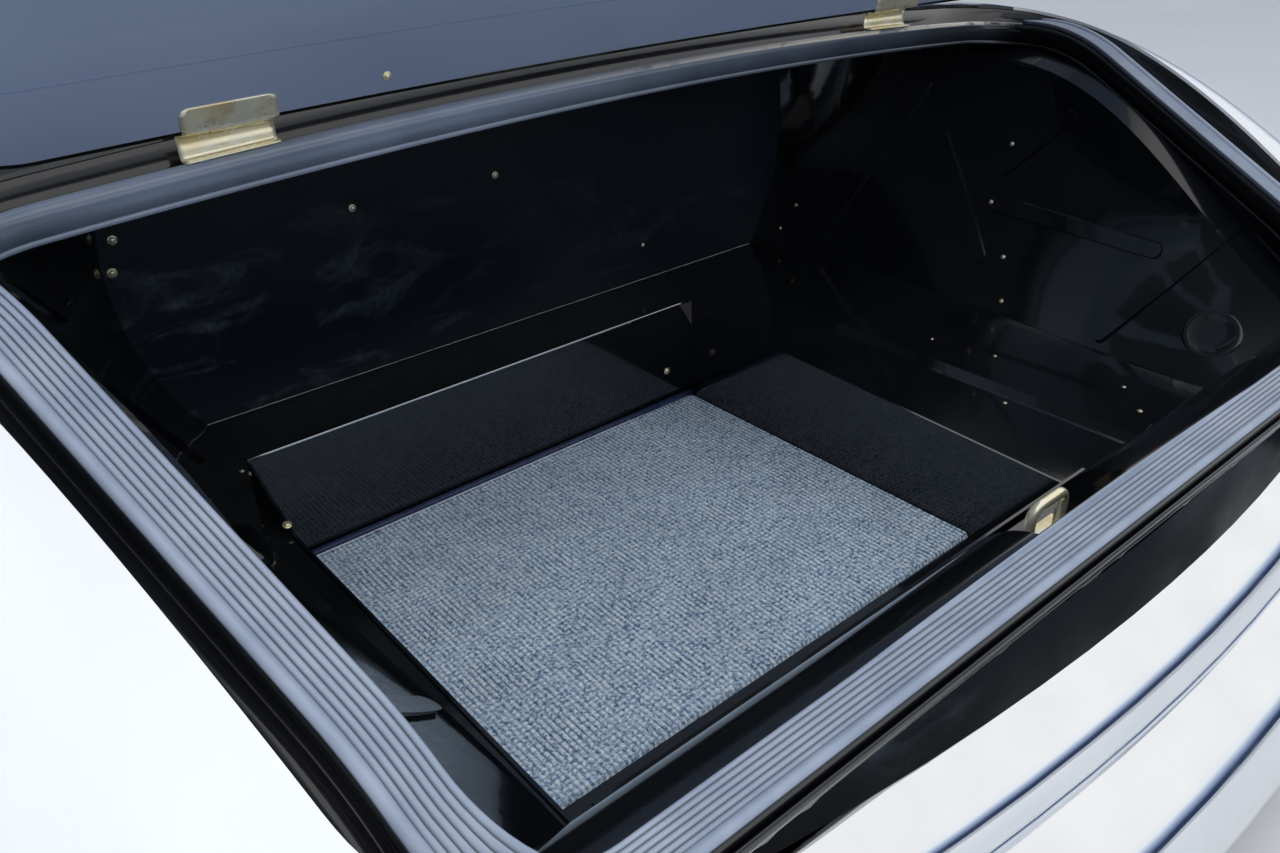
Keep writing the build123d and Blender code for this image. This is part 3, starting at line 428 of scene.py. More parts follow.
def gloss_paint(name, colour, dust_colour, dust_amount, peel=0.05, rough=(0.06, 0.15)):
    """Sprayed gloss paint: orange peel, a thin uneven dust film and a few specks."""
    made, tree, shader = new_finish(name)
    normal = add_node(tree, "ShaderNodeNewGeometry").outputs["Normal"]
    upward = add_node(tree, "ShaderNodeSeparateXYZ", {"Vector": normal}).outputs["Z"]
    patches = ramp(tree, noise_map(tree, 9.0, detail=4.0), (0.35, 0.25), (0.7, 1.0))
    film = product(tree, ramp(tree, upward, (0.2, 0.0), (1.0, 1.0)), dust_amount, patches)
    specks = ramp(tree, noise_map(tree, 900.0, detail=1.0), (0.735, 0.0), (0.765, 1.0))
    specks = product(tree, specks, dust_amount * SPECK_STRENGTH)
    dust = maths(tree, "MAXIMUM", film, specks)
    paint = colour(tree) if callable(colour) else colour
    haze = ramp(tree, noise_map(tree, 6.0, detail=5.0), (0.3, rough[0]), (0.75, rough[1]))
    ripple = bump(tree, noise_map(tree, 7.0, detail=1.0), strength=0.35, distance=0.0012)
    peeled = bump(tree, noise_map(tree, 420.0), strength=peel, distance=0.0006, below=ripple)
    dress(tree, shader, mixed(tree, dust, paint, dust_colour), maths(tree, "ADD", haze, dust), peeled)
    shader.inputs["Coat Weight"].default_value = 0.6
    shader.inputs["Coat Roughness"].default_value = 0.04
    return made


def deck_colour(tree):
    """White in front, black along the edge that the lid covers."""
    ahead = maths(tree, "GREATER_THAN", own_place(tree, "Y"), DECK_BLACK_Y)
    return mixed(tree, ahead, SHADE_BLACK, WHITE)


def lid_skin_colour(tree):
    """White outside, black on the face that looks into the boot."""
    facing = add_node(tree, "ShaderNodeTexCoord").outputs["Normal"]
    rearward = add_node(tree, "ShaderNodeSeparateXYZ", {"Vector": facing}).outputs["Y"]
    inside = maths(tree, "LESS_THAN", rearward, LID_INSIDE_NORMAL_Y)
    return mixed(tree, inside, WHITE, SHADE_BLACK)


def rim_colour(tree):
    """Black with a grey-blue painted sky reflection on the front lip, and bare worn spots along its ridge
    that also make a painted highlight line.
    """
    patches = ramp(tree, noise_map(tree, 8.0, detail=4.0), (0.25, 0.6), (0.7, 1.0))
    painted_reflection = product(tree, point_number(tree, "painted_reflection"), patches)
    # painted reflection: the grey-blue of the sky mirrored in the front lip, painted into its colour,
    # strongest at the left
    base = mixed(tree, painted_reflection, SHADE_BLACK, (0.25, 0.31, 0.42))
    spots = noise_map(tree, 55.0, detail=5.0, stretch=(0.45, 1.0, 1.0))
    worn_and_highlit = product(tree, ramp(tree, spots, (0.40, 0.0), (0.47, 1.0)), point_number(tree, "wear_and_highlight"))
    # the pale spots along the ridge are real worn chips and also a painted highlight line, strongest at the
    # right
    return mixed(tree, worn_and_highlit, base, (0.50, 0.46, 0.38))


def lid_sky_reflection(tree):
    """The lid's inner panel: black paint with a painted sky reflection in dark blue-grey, lighter in places.
    """
    haze = noise_map(tree, 3.0, detail=3.0, stretch=(0.5, 1.0, 1.0))
    return ramp(tree, haze, (0.3, (0.17, 0.22, 0.33)), (0.75, (0.28, 0.35, 0.48)))


def dusty_black():
    """Dull black with faint pale blue-grey streaks, stronger low down and towards the left."""
    made, tree, shader = new_finish("dull_black")
    streaks = noise_map(tree, 7.0, detail=7.0, stretch=(1.0, 1.0, 2.2), distortion=1.6)
    pale_streaks = ramp(tree, streaks, (0.52, 0.0), (0.70, 1.0))
    grains = ramp(tree, noise_map(tree, 160.0, detail=3.0), (0.35, 0.3), (0.75, 1.0))
    low = ramp(tree, own_place(tree, "Z"), (0.13, 1.0), (0.34, 0.25))
    left = ramp(tree, product(tree, own_place(tree, "X"), -1.0), (0.05, 0.2), (0.45, 1.0))
    # strength of the pale blue-grey streaks, more low down and towards the left
    dust = product(tree, pale_streaks, grains, low, left, PALE_STREAK_STRENGTH)
    colour = mixed(tree, dust, (0.0045, 0.0085, 0.0135), (0.26, 0.34, 0.42))
    roughness = ramp(tree, noise_map(tree, 12.0, detail=5.0), (0.3, 0.30), (0.7, 0.46))
    grain = bump(tree, noise_map(tree, 260.0, detail=3.0), strength=0.10, distance=0.0008)
    dress(tree, shader, colour, roughness, grain)
    shader.inputs["Specular IOR Level"].default_value = 0.22
    return made


def rough_coating():
    """Sprayed underbody coating with a coarse grain."""
    made, tree, shader = new_finish("underseal")
    lumps = noise_map(tree, 90.0, detail=5.0)
    colour = ramp(tree, noise_map(tree, 14.0, detail=5.0), (0.3, 0.012), (0.75, 0.045))
    roughness = ramp(tree, lumps, (0.3, 0.55), (0.8, 0.85))
    dress(tree, shader, colour, roughness, bump(tree, lumps, strength=0.6, distance=0.002))
    return made


def rubber():
    """Satin rubber with a painted sheen, pale and varied by dust, on the crowns of its ribs, and painted
    shade near black in its grooves.
    """
    made, tree, shader = new_finish("seal_rubber")
    dust = ramp(tree, noise_map(tree, 18.0, detail=5.0), (0.38, 0.0), (0.8, 0.6))
    # pale blue-grey that paints the rubber's sheen, varied in dust patches
    sheen_and_dust = mixed(tree, dust, (0.26, 0.31, 0.40), (0.46, 0.51, 0.59))
    crown = ramp(tree, point_number(tree, "crown"), (0.15, 0.16), (0.75, 1.0))
    # painted shade near black in the grooves, painted sheen on the crowns
    colour = mixed(tree, crown, (0.010, 0.012, 0.017), sheen_and_dust)
    roughness = ramp(tree, noise_map(tree, 40.0, detail=4.0), (0.3, 0.26), (0.8, 0.38))
    grain = bump(tree, noise_map(tree, 500.0, detail=3.0), strength=0.10, distance=0.0004)
    dress(tree, shader, colour, roughness, grain)
    return made


def bright_chrome():
    """Polished chrome with a faint haze and waves."""
    made, tree, shader = new_finish("chrome")
    haze = noise_map(tree, 16.0, detail=5.0)
    tints = ramp(tree, haze, (0.3, (0.80, 0.82, 0.85)), (0.8, (0.88, 0.89, 0.90)))
    roughness = ramp(tree, noise_map(tree, 30.0, detail=6.0), (0.4, 0.035), (0.8, 0.12))
    waves = bump(tree, noise_map(tree, 9.0), strength=0.2, distance=0.001)
    dress(tree, shader, tints, roughness, waves)
    shader.inputs["Metallic"].default_value = 1.0
    return made


def yellow_zinc():
    """Yellow passivated zinc, from straw to a pale green."""
    made, tree, shader = new_finish("zinc")
    tints = ramp(
        tree, noise_map(tree, 14.0, detail=3.0, distortion=0.6),
        (0.30, (0.80, 0.60, 0.32)), (0.45, (0.90, 0.80, 0.52)),
        (0.58, (0.93, 0.90, 0.72)), (0.75, (0.84, 0.84, 0.64)),
    )
    roughness = ramp(tree, noise_map(tree, 90.0, detail=4.0), (0.3, 0.24), (0.8, 0.38))
    grain = bump(tree, noise_map(tree, 260.0, detail=3.0), strength=0.10, distance=0.0004)
    dress(tree, shader, tints, roughness, grain)
    shader.inputs["Metallic"].default_value = 0.75
    return made


def navy_trim():
    """Navy-blue moulded edging."""
    made, tree, shader = new_finish("navy_trim")
    patches = noise_map(tree, 30.0, detail=3.0)
    blues = ramp(tree, patches, (0.3, (0.012, 0.020, 0.060)), (0.8, (0.03, 0.045, 0.11)))
    roughness = ramp(tree, noise_map(tree, 80.0), (0.3, 0.22), (0.8, 0.36))
    dress(tree, shader, blues, roughness, bump(tree, noise_map(tree, 300.0), strength=0.1, distance=0.0004))
    return made


def carpet_fibre():
    """Looped carpet: grey-blue fibres with pale and dark flecks, and painted shade in the grooves between its
    loops.
    """
    made, tree, shader = new_finish("carpet")
    flecks = ramp(
        tree, noise_map(tree, 330.0, detail=3.0),
        (0.34, (0.12, 0.19, 0.30)), (0.45, (0.46, 0.62, 0.82)),
        (0.54, (0.68, 0.83, 0.96)), (0.64, (0.92, 0.97, 1.0)),
    )
    # painted shade: the colour darkens where the pile is low, in the grooves between the loops
    depth = ramp(tree, point_number(tree, "pile"), (0.10, 0.22), (0.70, 1.0))
    tone_and_groove_shade = product(tree, ramp(tree, noise_map(tree, 14.0, detail=4.0), (0.3, 0.86), (0.7, 1.0)), depth)
    feed(tree, shader.inputs["Base Color"], mixed(tree, tone_and_groove_shade, (0.012, 0.016, 0.024), flecks))
    fuzz = bump(tree, noise_map(tree, 900.0, detail=4.0), strength=0.6, distance=0.0010)
    feed(tree, shader.inputs["Normal"], fuzz)
    shader.inputs["Roughness"].default_value = 0.95
    shader.inputs["Sheen Weight"].default_value = 0.15
    shader.inputs["Sheen Roughness"].default_value = 0.5
    return made


def red_lens():
    """Red moulded lens with fine ribs."""
    made, tree, shader = new_finish("lens")
    place = add_node(tree, "ShaderNodeTexCoord").outputs["Object"]
    wave = add_node(tree, "ShaderNodeTexWave", {"Vector": place, "Scale": 70.0}, bands_direction="Z")
    ribs = wave.outputs["Fac"]
    reds = ramp(tree, ribs, (0.2, (0.20, 0.004, 0.006)), (0.9, (0.50, 0.015, 0.018)))
    roughness = ramp(tree, noise_map(tree, 50.0), (0.3, 0.06), (0.8, 0.14))
    dress(tree, shader, reds, roughness, bump(tree, ribs, strength=0.4, distance=0.001))
    shader.inputs["Coat Weight"].default_value = 0.8
    return made


def blank_plate():
    """Pale painted plate, a little grimy."""
    made, tree, shader = new_finish("plate")
    grime = noise_map(tree, 22.0, detail=5.0)
    greys = ramp(tree, grime, (0.4, (0.76, 0.76, 0.74)), (0.8, (0.70, 0.69, 0.67)))
    feed(tree, shader.inputs["Base Color"], greys)
    feed(tree, shader.inputs["Roughness"], ramp(tree, noise_map(tree, 60.0), (0.3, 0.25), (0.8, 0.4)))
    return made


FINISHES = {
    "white_paint": gloss_paint("white_paint", WHITE, WHITE_DUST, dust_amount=0.05, peel=0.03),
    "black_paint": gloss_paint("black_paint", BLACK, BLACK_DUST, dust_amount=0.016),
    "dull_black": dusty_black(),
    "underseal": rough_coating(),
    "seal_rubber": rubber(),
    "carpet": carpet_fibre(),
    "chrome": bright_chrome(),
    "zinc": yellow_zinc(),
    "lens": red_lens(),
    "plate": blank_plate(),
    "rim_paint": gloss_paint("rim_paint", rim_colour, RIM_DUST, dust_amount=0.02, rough=(0.14, 0.26)),
    "navy_trim": navy_trim(),
}
NODE_FINISHES = {
    "deck_panel": gloss_paint("deck_paint", deck_colour, WHITE_DUST, dust_amount=0.05, peel=0.03),
    "lid_skin": gloss_paint("lid_paint", lid_skin_colour, WHITE_DUST, dust_amount=0.05, peel=0.03),
    # the lid's inner panel takes a painted sky reflection as its colour
    "lid_frame": gloss_paint("lid_lining", lid_sky_reflection, LINING_DUST, dust_amount=0.02, rough=(0.16, 0.30)),
}


def finish_nodes():
    """Give each CAD node its own finish, or else that of its slot."""
    for part in frame["record"]["subparts"]:
        node = NODES[part["node"]]
        node.data.materials.clear()
        node.data.materials.append(NODE_FINISHES.get(part["node"], FINISHES[part["material_slot"]]))


# Carpet: cords that run front to rear, each a row of small loops
CARPET_PITCH = 0.006
CARPET_STEP_X = 0.0015
CARPET_STEP_Y = 0.002
CARPET_BASE = 0.0035
CARPET_LOOP = 0.0022
CARPET_UNEVEN = 0.00012
CARPET_SEED = 7
CORD_SWAY = 0.0004  # how far the cords sway along their run
CORD_SWAY_TURN = 60  # radians a metre
LOOP_SWAY = 0.0003
LOOP_SWAY_TURN = 45
LOOP_ROUNDNESS = 0.7
LOOP_DIP = 0.38  # share of a loop's height that falls away towards the next one
PILE_ROUNDNESS = 0.8  # these two stand for the last two in the shading of the pile
PILE_DIP = 0.55


def looped(across, along, roundness, dip):
    """The loops' height, from 0 in a groove to 1 on a loop's top."""
    return across**roundness * (1 - dip + dip * along)


def make_carpet():
    """The ribbed carpet as one sheet, laid in the well."""
    low, high = (Vector(corner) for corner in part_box("carpet"))
    columns = round((high.x - low.x) / CARPET_STEP_X) + 1
    rows = round((high.y - low.y) / CARPET_STEP_Y) + 1
    rng = np.random.default_rng(CARPET_SEED)
    uneven = rng.normal(0, CARPET_UNEVEN, (rows, columns))
    x = np.linspace(low.x, high.x, columns)
    y = np.linspace(low.y, high.y, rows)
    cord_shift = CORD_SWAY * np.sin(y * CORD_SWAY_TURN)[:, None]
    loop_shift = LOOP_SWAY * np.sin(x * LOOP_SWAY_TURN)[None, :]
    shift = cord_shift + loop_shift
    across = np.abs(np.sin(math.pi * (x[None, :] + shift) / CARPET_PITCH))
    along = np.abs(np.sin(math.pi * (y[:, None] + shift) / CARPET_PITCH))
    height = CARPET_BASE + CARPET_LOOP * looped(across, along, LOOP_ROUNDNESS, LOOP_DIP) + uneven
    height[[0, -1], :] = 0
    height[:, [0, -1]] = 0
    grid_x, grid_y = np.meshgrid(x, y)
    points = np.stack([grid_x.ravel(), grid_y.ravel(), (low.z + height).ravel()], axis=1)
    faces = grid_faces(rows, columns)
    carpet = mesh_piece("ribbed_carpet", points, faces, "tail", FINISHES["carpet"])
    # the pile's height at each point, read by the carpet's painted shade in its grooves
    point_value(carpet, "pile", looped(across, along, PILE_ROUNDNESS, PILE_DIP).ravel())
    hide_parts("carpet")


# Flange: its rounded edges, the gutter's bends and outer wall, and the sheet it is bent from
LIP_ROLL_STEPS = 3
CORNER_STEPS = 6
SEAT_EDGE_R = 0.005
GUTTER_BEND_R = 0.004
GUTTER_BEND_REACH = 0.003
FLANGE_SHEET = 0.0014
WALL_SET = 0.0012  # the wall stands this far outside the gutter
WALL_DROP = 0.0048  # its top stays this far under the panel beside it
WALL_RAY_SPREAD = 1.002
WALL_RAY_Z = 1.0

# Marks on the flange's front, a painted sky reflection on the lip and worn spots along the ridge that also
# paint a highlight: rows of its section that carry them, and their strength along X
REFLECTION_ROWS = range(0, 16)
REFLECTION_AT_CENTRE = 0.6583
REFLECTION_SLOPE = -0.9167
REFLECTION_LEAST = 0.12
WEAR_HIGHLIGHT_ROWS = range(10, 13)
WEAR_HIGHLIGHT_AT_CENTRE = 0.45
WEAR_HIGHLIGHT_SLOPE = 2.0
WEAR_HIGHLIGHT_LEAST = 0.1
MARKS_REAR_Y = -0.31
MARKS_FADE = 0.03


def flange_rows(seat, edge):
    """The flange's section for swept_rows, from its lip over the seat into the gutter."""
    rows = [(SHEET, SHEET, SHEET, 0.0, 1.0)]
    roll_r = SHEET / 2
    for step in range(-LIP_ROLL_STEPS, LIP_ROLL_STEPS + 1):
        angle = math.pi / 2 * step / LIP_ROLL_STEPS
        reach = roll_r - roll_r * math.cos(angle)
        rows.append((reach, reach, reach, roll_r * math.sin(angle), 1.0))
    for near, far in rounded_corner(SEAT_EDGE_R, CORNER_STEPS):
        rows.append((near, near, near, -far, 0.0))
    bend = rounded_corner(GUTTER_BEND_R, CORNER_STEPS)
    for near, far in bend:
        rows.append((*(value - far for value in seat), -near, 0.0))
    for near, far in bend:
        reach = min(near, GUTTER_BEND_REACH)
        rows.append((*(value + reach for value in seat), far - GUTTER_DEPTH, 0.0))
    for near, far in bend:
        reach = min(far, GUTTER_BEND_REACH)
        rows.append((*(value - reach for value in edge), near - GUTTER_DEPTH, 0.0))
    return rows


def wall_point(skin, x, y):
    """A point on the top of the gutter's outer wall, just under the panel beside it."""
    above = Vector((x * WALL_RAY_SPREAD, y, WALL_RAY_Z))
    place = skin.ray_cast(above, Vector((0, 0, -1)))[0]
    covered = place is not None and place.z > 0
    return x, y, place.z - WALL_DROP if covered else seat_height(x, y)


def mark_flange(flange, points, columns):
    """Store how strong the painted grey reflection and the worn spots with their painted highlight are at
    each point of the flange.
    """
    painted_reflection, wear_and_highlight = [], []
    for index, (x, y, _) in enumerate(points):
        row = index // columns
        ahead = clamped((y - MARKS_REAR_Y) / MARKS_FADE)
        reflection_here = ahead * clamped(REFLECTION_AT_CENTRE + REFLECTION_SLOPE * x, REFLECTION_LEAST)
        wear_and_highlight_here = ahead * clamped(WEAR_HIGHLIGHT_AT_CENTRE + WEAR_HIGHLIGHT_SLOPE * x, WEAR_HIGHLIGHT_LEAST)
        painted_reflection.append(reflection_here if row in REFLECTION_ROWS else 0.0)
        wear_and_highlight.append(wear_and_highlight_here if row in WEAR_HIGHLIGHT_ROWS else 0.0)
    point_value(flange, "painted_reflection", painted_reflection)
    point_value(flange, "wear_and_highlight", wear_and_highlight)


def make_flange():
    """The flange round the opening: rolled inner lip, seat, gutter and its outer wall."""
    seat = (SEAT_WIDTH, FRONT_SEAT_WIDTH, SEAT_WIDTH)
    edge = (SEAT_WIDTH + GUTTER_WIDTH, FRONT_SEAT_WIDTH + FRONT_GUTTER_WIDTH, SEAT_WIDTH + REAR_GUTTER_WIDTH)
    rows = flange_rows(seat, edge)
    skin = node_tree_of("deck_panel", "tail_panel", "outer_wing_left", "outer_wing_right")
    wall = opening_ring(*(value + WALL_SET for value in edge))
    points = swept_rows(rows) + [wall_point(skin, x, y) for x, y in wall]
    faces = grid_faces(len(rows) + 1, len(wall), closed=True)
    flange = mesh_piece("rolled_flange", points, faces, "tail", FINISHES["rim_paint"])
    mark_flange(flange, points, len(wall))
    thicken(flange, FLANGE_SHEET)
    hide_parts("opening_rim")


# Seal: ribs across its width and a bulb along its outer edge
SEAL_FRONT_Y = -0.318
SEAL_EDGE_HEIGHT = 0.003
SEAL_EDGE_REACH = 0.0006
SEAL_RIBS = 6
SEAL_RIB_STEPS = 8
SEAL_RIB_HEIGHT = 0.0022
SEAL_RIB_ROUNDNESS = 0.6
SEAL_FLOOR = 0.0042
SEAL_BULB_R = 0.0045
SEAL_BULB_Z = 0.0046
SEAL_BULB_START = 165  # degrees
SEAL_BULB_END = -75
SEAL_BULB_STEPS = 12

# Rear corners, where the shut lid presses the seal down to a share of its height
EASE_X = 0.570
EASE_Y = -0.812
EASE_RUN = 0.014
EASE_SHARE = 0.55


def seal_profile():
    """The seal's section as offsets from the opening's inner edge and heights over the seat."""
    section = [(0.0, GAP), (0.0, SEAL_EDGE_HEIGHT)]
    ribbed = SEAT_WIDTH - 2 * SEAL_BULB_R
    for step in range(SEAL_RIBS * SEAL_RIB_STEPS + 1):
        share = step / (SEAL_RIBS * SEAL_RIB_STEPS)
        swell = abs(math.sin(math.pi * share * SEAL_RIBS)) ** SEAL_RIB_ROUNDNESS
        reach = SEAL_EDGE_REACH + share * (ribbed - SEAL_EDGE_REACH)
        section.append((reach, SEAL_FLOOR + SEAL_RIB_HEIGHT * swell))
    centre = SEAT_WIDTH - SEAL_BULB_R
    for step in range(SEAL_BULB_STEPS + 1):
        angle = math.radians(SEAL_BULB_START + (SEAL_BULB_END - SEAL_BULB_START) * step / SEAL_BULB_STEPS)
        section.append((centre + SEAL_BULB_R * math.cos(angle), SEAL_BULB_Z + SEAL_BULB_R * math.sin(angle)))
    section.append((centre, GAP))
    return section


def eased_corners(points, lower):
    """The points, sunk towards the lower ones where the shut lid's rear corners press on the seal."""
    eased = []
    for (x, y, z), (_, _, low) in zip(points, lower):
        beside = clamped((abs(x) - EASE_X) / EASE_RUN)
        behind = clamped((EASE_Y - y) / EASE_RUN)
        eased.append((x, y, z + (low - z) * beside * behind))
    return eased


def make_seal():
    """The ribbed seal along both sides and the rear, with closed ends."""
    inner = opening_ring(0, 0, 0)
    stations = [i for i, (_, y) in enumerate(inner) if y < SEAL_FRONT_Y]
    section = seal_profile()
    rows = [(reach, reach * FRONT_SEAT_WIDTH / SEAT_WIDTH, reach, lift, 0.0) for reach, lift in section]
    sunk = [(*row[:3], GAP + (row[3] - GAP) * EASE_SHARE, row[4]) for row in rows]
    points = eased_corners(swept_rows(rows, stations), swept_rows(sunk, stations))
    columns = len(stations)
    last = (len(rows) - 1) * columns
    faces = grid_faces(len(rows), columns)
    faces += [(last + c, last + c + 1, c + 1, c) for c in range(columns - 1)]
    faces.append(tuple(r * columns for r in range(len(rows))))
    faces.append(tuple(r * columns + columns - 1 for r in reversed(range(len(rows)))))
    seal = mesh_piece("ribbed_seal", points, faces, "tail", FINISHES["seal_rubber"])
    # how high each row stands on the ribs, read by the painted shade in the grooves and the painted sheen on
    # the crowns
    crowns = [clamped((lift - SEAL_FLOOR) / SEAL_RIB_HEIGHT) for _, lift in section]
    point_value(seal, "crown", np.repeat(crowns, columns))
    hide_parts("boot_seal")


# Hinges: their pin, as in the part's source, with leaves folded from sheet and rolled knuckles
LID_FRONT_GAP = 0.010
LID_LIFT = 0.010
LID_THICK = 0.014
LID_ANGLE = math.radians(75)
HINGE_X = 0.442
HINGE_HALF = 0.042
HINGE_RISE = 0.001
KNUCKLE_R = 0.005
HINGE_Y = OPEN_FRONT_Y + LID_FRONT_GAP + KNUCKLE_R
HINGE_Z = SEAT_TOP_Z + LID_LIFT + LID_THICK + HINGE_RISE - HINGE_X**2 / (2 * CROWN_R)
KNUCKLE_HALF = 0.0138
KNUCKLE_END_R = 0.00425
KNUCKLE_EASE = 0.0008
KNUCKLE_SIDES = 20
LEAF_THICK = 0.0018
LEAF_TOP = 0.003  # a leaf's sheet starts this far under the pin
FOLD_R = 0.005
FOLD_STEPS = 8
LEAF_STEPS = 14
LEAF_COLUMNS = 17
HINGE_HALVES = (
    # piece, its solid, body, Y from the pin, depth, length, corners' radius, lean, knuckles' X
    ("hinge_leaf", "hinge_lid", "lid", -0.0026, 0.0162, 0.024, 0.007, LID_ANGLE, (0.0,)),
    ("hinge_foot", "hinge_body", "tail", 0.0026, 0.0232, 0.014, 0.004, 0.0, (-0.028, 0.028)),
)


def leaf_faces(rows, columns):
    """Faces of a sheet with two sides, stored one after the other, and of its edge all round."""
    other = rows * columns
    faces = [tuple(reversed(face)) for face in grid_faces(rows, columns)]
    faces += [tuple(other + i for i in face) for face in grid_faces(rows, columns)]
    edge = list(range(columns))
    edge += [row * columns + columns - 1 for row in range(1, rows)]
    edge += [(rows - 1) * columns + column for column in range(columns - 2, -1, -1)]
    edge += [row * columns for row in range(rows - 2, 0, -1)]
    faces += [(here, beside, other + beside, other + here) for here, beside in zip(edge, edge[1:] + edge[:1])]
    return faces


def folded_leaf(side, near_y, depth, length, corner, lean):
    """A sheet that hangs from the pin, folds rearward and ends in two rounded corners."""
    path = [(near_y, -LEAF_TOP)]
    path += [(near_y - near, far - depth) for near, far in rounded_corner(FOLD_R, FOLD_STEPS)]
    for step in range(1, LEAF_STEPS + 1):
        path.append((near_y - FOLD_R - (length - FOLD_R) * step / LEAF_STEPS, -depth))
    turn = Euler((-lean, 0.0, 0.0))
    points = []
    for thickness in (0.0, LEAF_THICK):
        for y, z in path:
            left = length - (near_y - y)
            cut = corner - math.sqrt(corner**2 - (corner - left) ** 2) if left < corner else 0.0
            back, up = (thickness, 0.0) if left > length - FOLD_R else (0.0, thickness)
            for column in range(LEAF_COLUMNS):
                x = side * HINGE_X + (HINGE_HALF - cut) * (2 * column / (LEAF_COLUMNS - 1) - 1)
                crown = (HINGE_X**2 - x**2) / (2 * CROWN_R) * min(-z / depth, 1.0)
                turned = Vector((0.0, y - back, z + crown + up))
                turned.rotate(turn)
                points.append((x, HINGE_Y + turned.y, HINGE_Z + turned.z))
    return points, leaf_faces(len(path), LEAF_COLUMNS)


def knuckle(side, middle):
    """A rolled knuckle on the hinge's pin, its ends eased."""
    half, shoulder = KNUCKLE_HALF, KNUCKLE_HALF - KNUCKLE_EASE
    section = (
        (-half, 0.0), (-half, KNUCKLE_END_R), (-shoulder, KNUCKLE_R),
        (shoulder, KNUCKLE_R), (half, KNUCKLE_END_R), (half, 0.0),
    )
    points = []
    for offset, reach in section:
        x = side * HINGE_X + middle + offset
        for index in range(KNUCKLE_SIDES):
            angle = 2 * math.pi * index / KNUCKLE_SIDES
            points.append((x, HINGE_Y + reach * math.cos(angle), HINGE_Z + reach * math.sin(angle)))
    return points, grid_faces(len(section), KNUCKLE_SIDES, closed=True)


def make_hinges():
    """Both hinges: a leaf on the lid with one knuckle, and a foot in the gutter with two."""
    for side, name in ((1, "right"), (-1, "left")):
        for piece, solid, body, near_y, depth, length, corner, lean, middles in HINGE_HALVES:
            leaf = folded_leaf(side, near_y, depth, length, corner, lean)
            points, faces = joined([leaf, *(knuckle(side, middle) for middle in middles)])
            half = mesh_piece(f"{piece}_{name}", points, faces, body, FINISHES["zinc"])
            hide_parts(f"{solid}_{name}")


# Screws and rivets: pixel column and row in the photograph, and radius in metres
SCREWS = (
    (352, 208, 0.0032), (495, 175, 0.0032), (643, 245, 0.0020), (780, 228, 0.0018), (796, 205, 0.0018),
    (112, 240, 0.0036), (112, 273, 0.0036), (287, 525, 0.0030), (667, 371, 0.0034), (1012, 144, 0.0022),
    (991, 202, 0.0022), (1003, 257, 0.0022), (1001, 301, 0.0022), (932, 339, 0.0016), (995, 356, 0.0016),
    (1005, 403, 0.0016), (1124, 387, 0.0016), (1140, 411, 0.0020), (242, 471, 0.0020), (250, 474, 0.0020),
)
LID_SCREWS = ((387, 76, 0.0030),)
SCREWED_PANELS = (
    "bulkhead", "boot_floor", "inner_wing_left", "inner_wing_right", "well_front_panel", "well_left_panel",
    "well_right_panel", "rear_rail",
)

# A screw's washer and domed head, as shares of its radius and of its height
HEAD_HEIGHT = 0.9
WASHER_REACH = 1.5
WASHER_LIFT = 0.25
FOOT_REACH = 1.02
FOOT_LIFT = 0.3
HEAD_SIDES = 14
HEAD_RINGS = 4

# The round dimple pressed into the right inner wing: its pixel, and its section's reaches and lifts
DIMPLE = (1212, 334)
DIMPLE_SECTION = (
    (0.0335, 0.0), (0.0315, 0.0014), (0.0290, 0.0022), (0.0265, 0.0016), (0.0240, 0.0008), (0.0150, 0.0006),
)
DIMPLE_SIDES = 48


def screw_head(place, normal, radius):
    """A domed screw head with a thin washer under it."""
    height = radius * HEAD_HEIGHT
    washer = radius * WASHER_REACH
    section = [(washer, 0.0), (washer, height * WASHER_LIFT), (radius * FOOT_REACH, height * FOOT_LIFT)]
    for ring in range(HEAD_RINGS):
        angle = math.pi / 2 * ring / HEAD_RINGS
        lift = FOOT_LIFT + (1 - FOOT_LIFT) * math.sin(angle)
        section.append((radius * math.cos(angle), height * lift))
    return turned_cap(place, normal, section, height, HEAD_SIDES)


def make_screws():
    """Domed screws on the panels that carry them."""
    for name, body, panels, places in (
        ("lining_screws", "tail", SCREWED_PANELS, SCREWS),
        ("lid_screws", "lid", ("lid_frame",), LID_SCREWS),
    ):
        tree = node_tree_of(*panels)
        points, faces = joined([screw_head(*photo_ray(tree, px, py), radius) for px, py, radius in places])
        mesh_piece(name, points, faces, body, FINISHES["zinc"])


def make_dimple():
    """The pressed dimple, as a ring that rises from the panel round a shallow middle."""
    place, normal = photo_ray(node_tree_of("inner_wing_right"), *DIMPLE)
    top = DIMPLE_SECTION[-1][1]
    points, faces = turned_cap(place, normal, DIMPLE_SECTION, top, DIMPLE_SIDES)
    mesh_piece("pressed_dimple", points, faces, "tail", FINISHES["black_paint"])


# Trim bars along a host's front or rear edge, with front and rear offsets from that edge, low and
# high offsets from the host's top, the radius of their upper corners, and the gap at each end
TRIM_BARS = (
    # piece, host, its edge, finish, slot, then front, rear, low, high, radius, end gap
    ("carpet_edging", "carpet", "front", "navy_trim", "black_paint",
     0.0015, -0.0060, -0.0020, 0.0075, 0.0022, 0.001),
    # the edging's bright line and the wall's hem below are chrome bars standing in for painted highlights
    ("edging_highlight", "carpet", "front", "chrome", "chrome",
     -0.0055, -0.0068, -0.0010, 0.0028, 0.0006, 0.001),
    ("wall_hem_highlight", "well_front_panel", "rear", "chrome", "chrome",
     0.0006, -0.0009, -0.0022, 0.0004, 0.0007, 0.0),
)
TRIM_CORNER_STEPS = 5


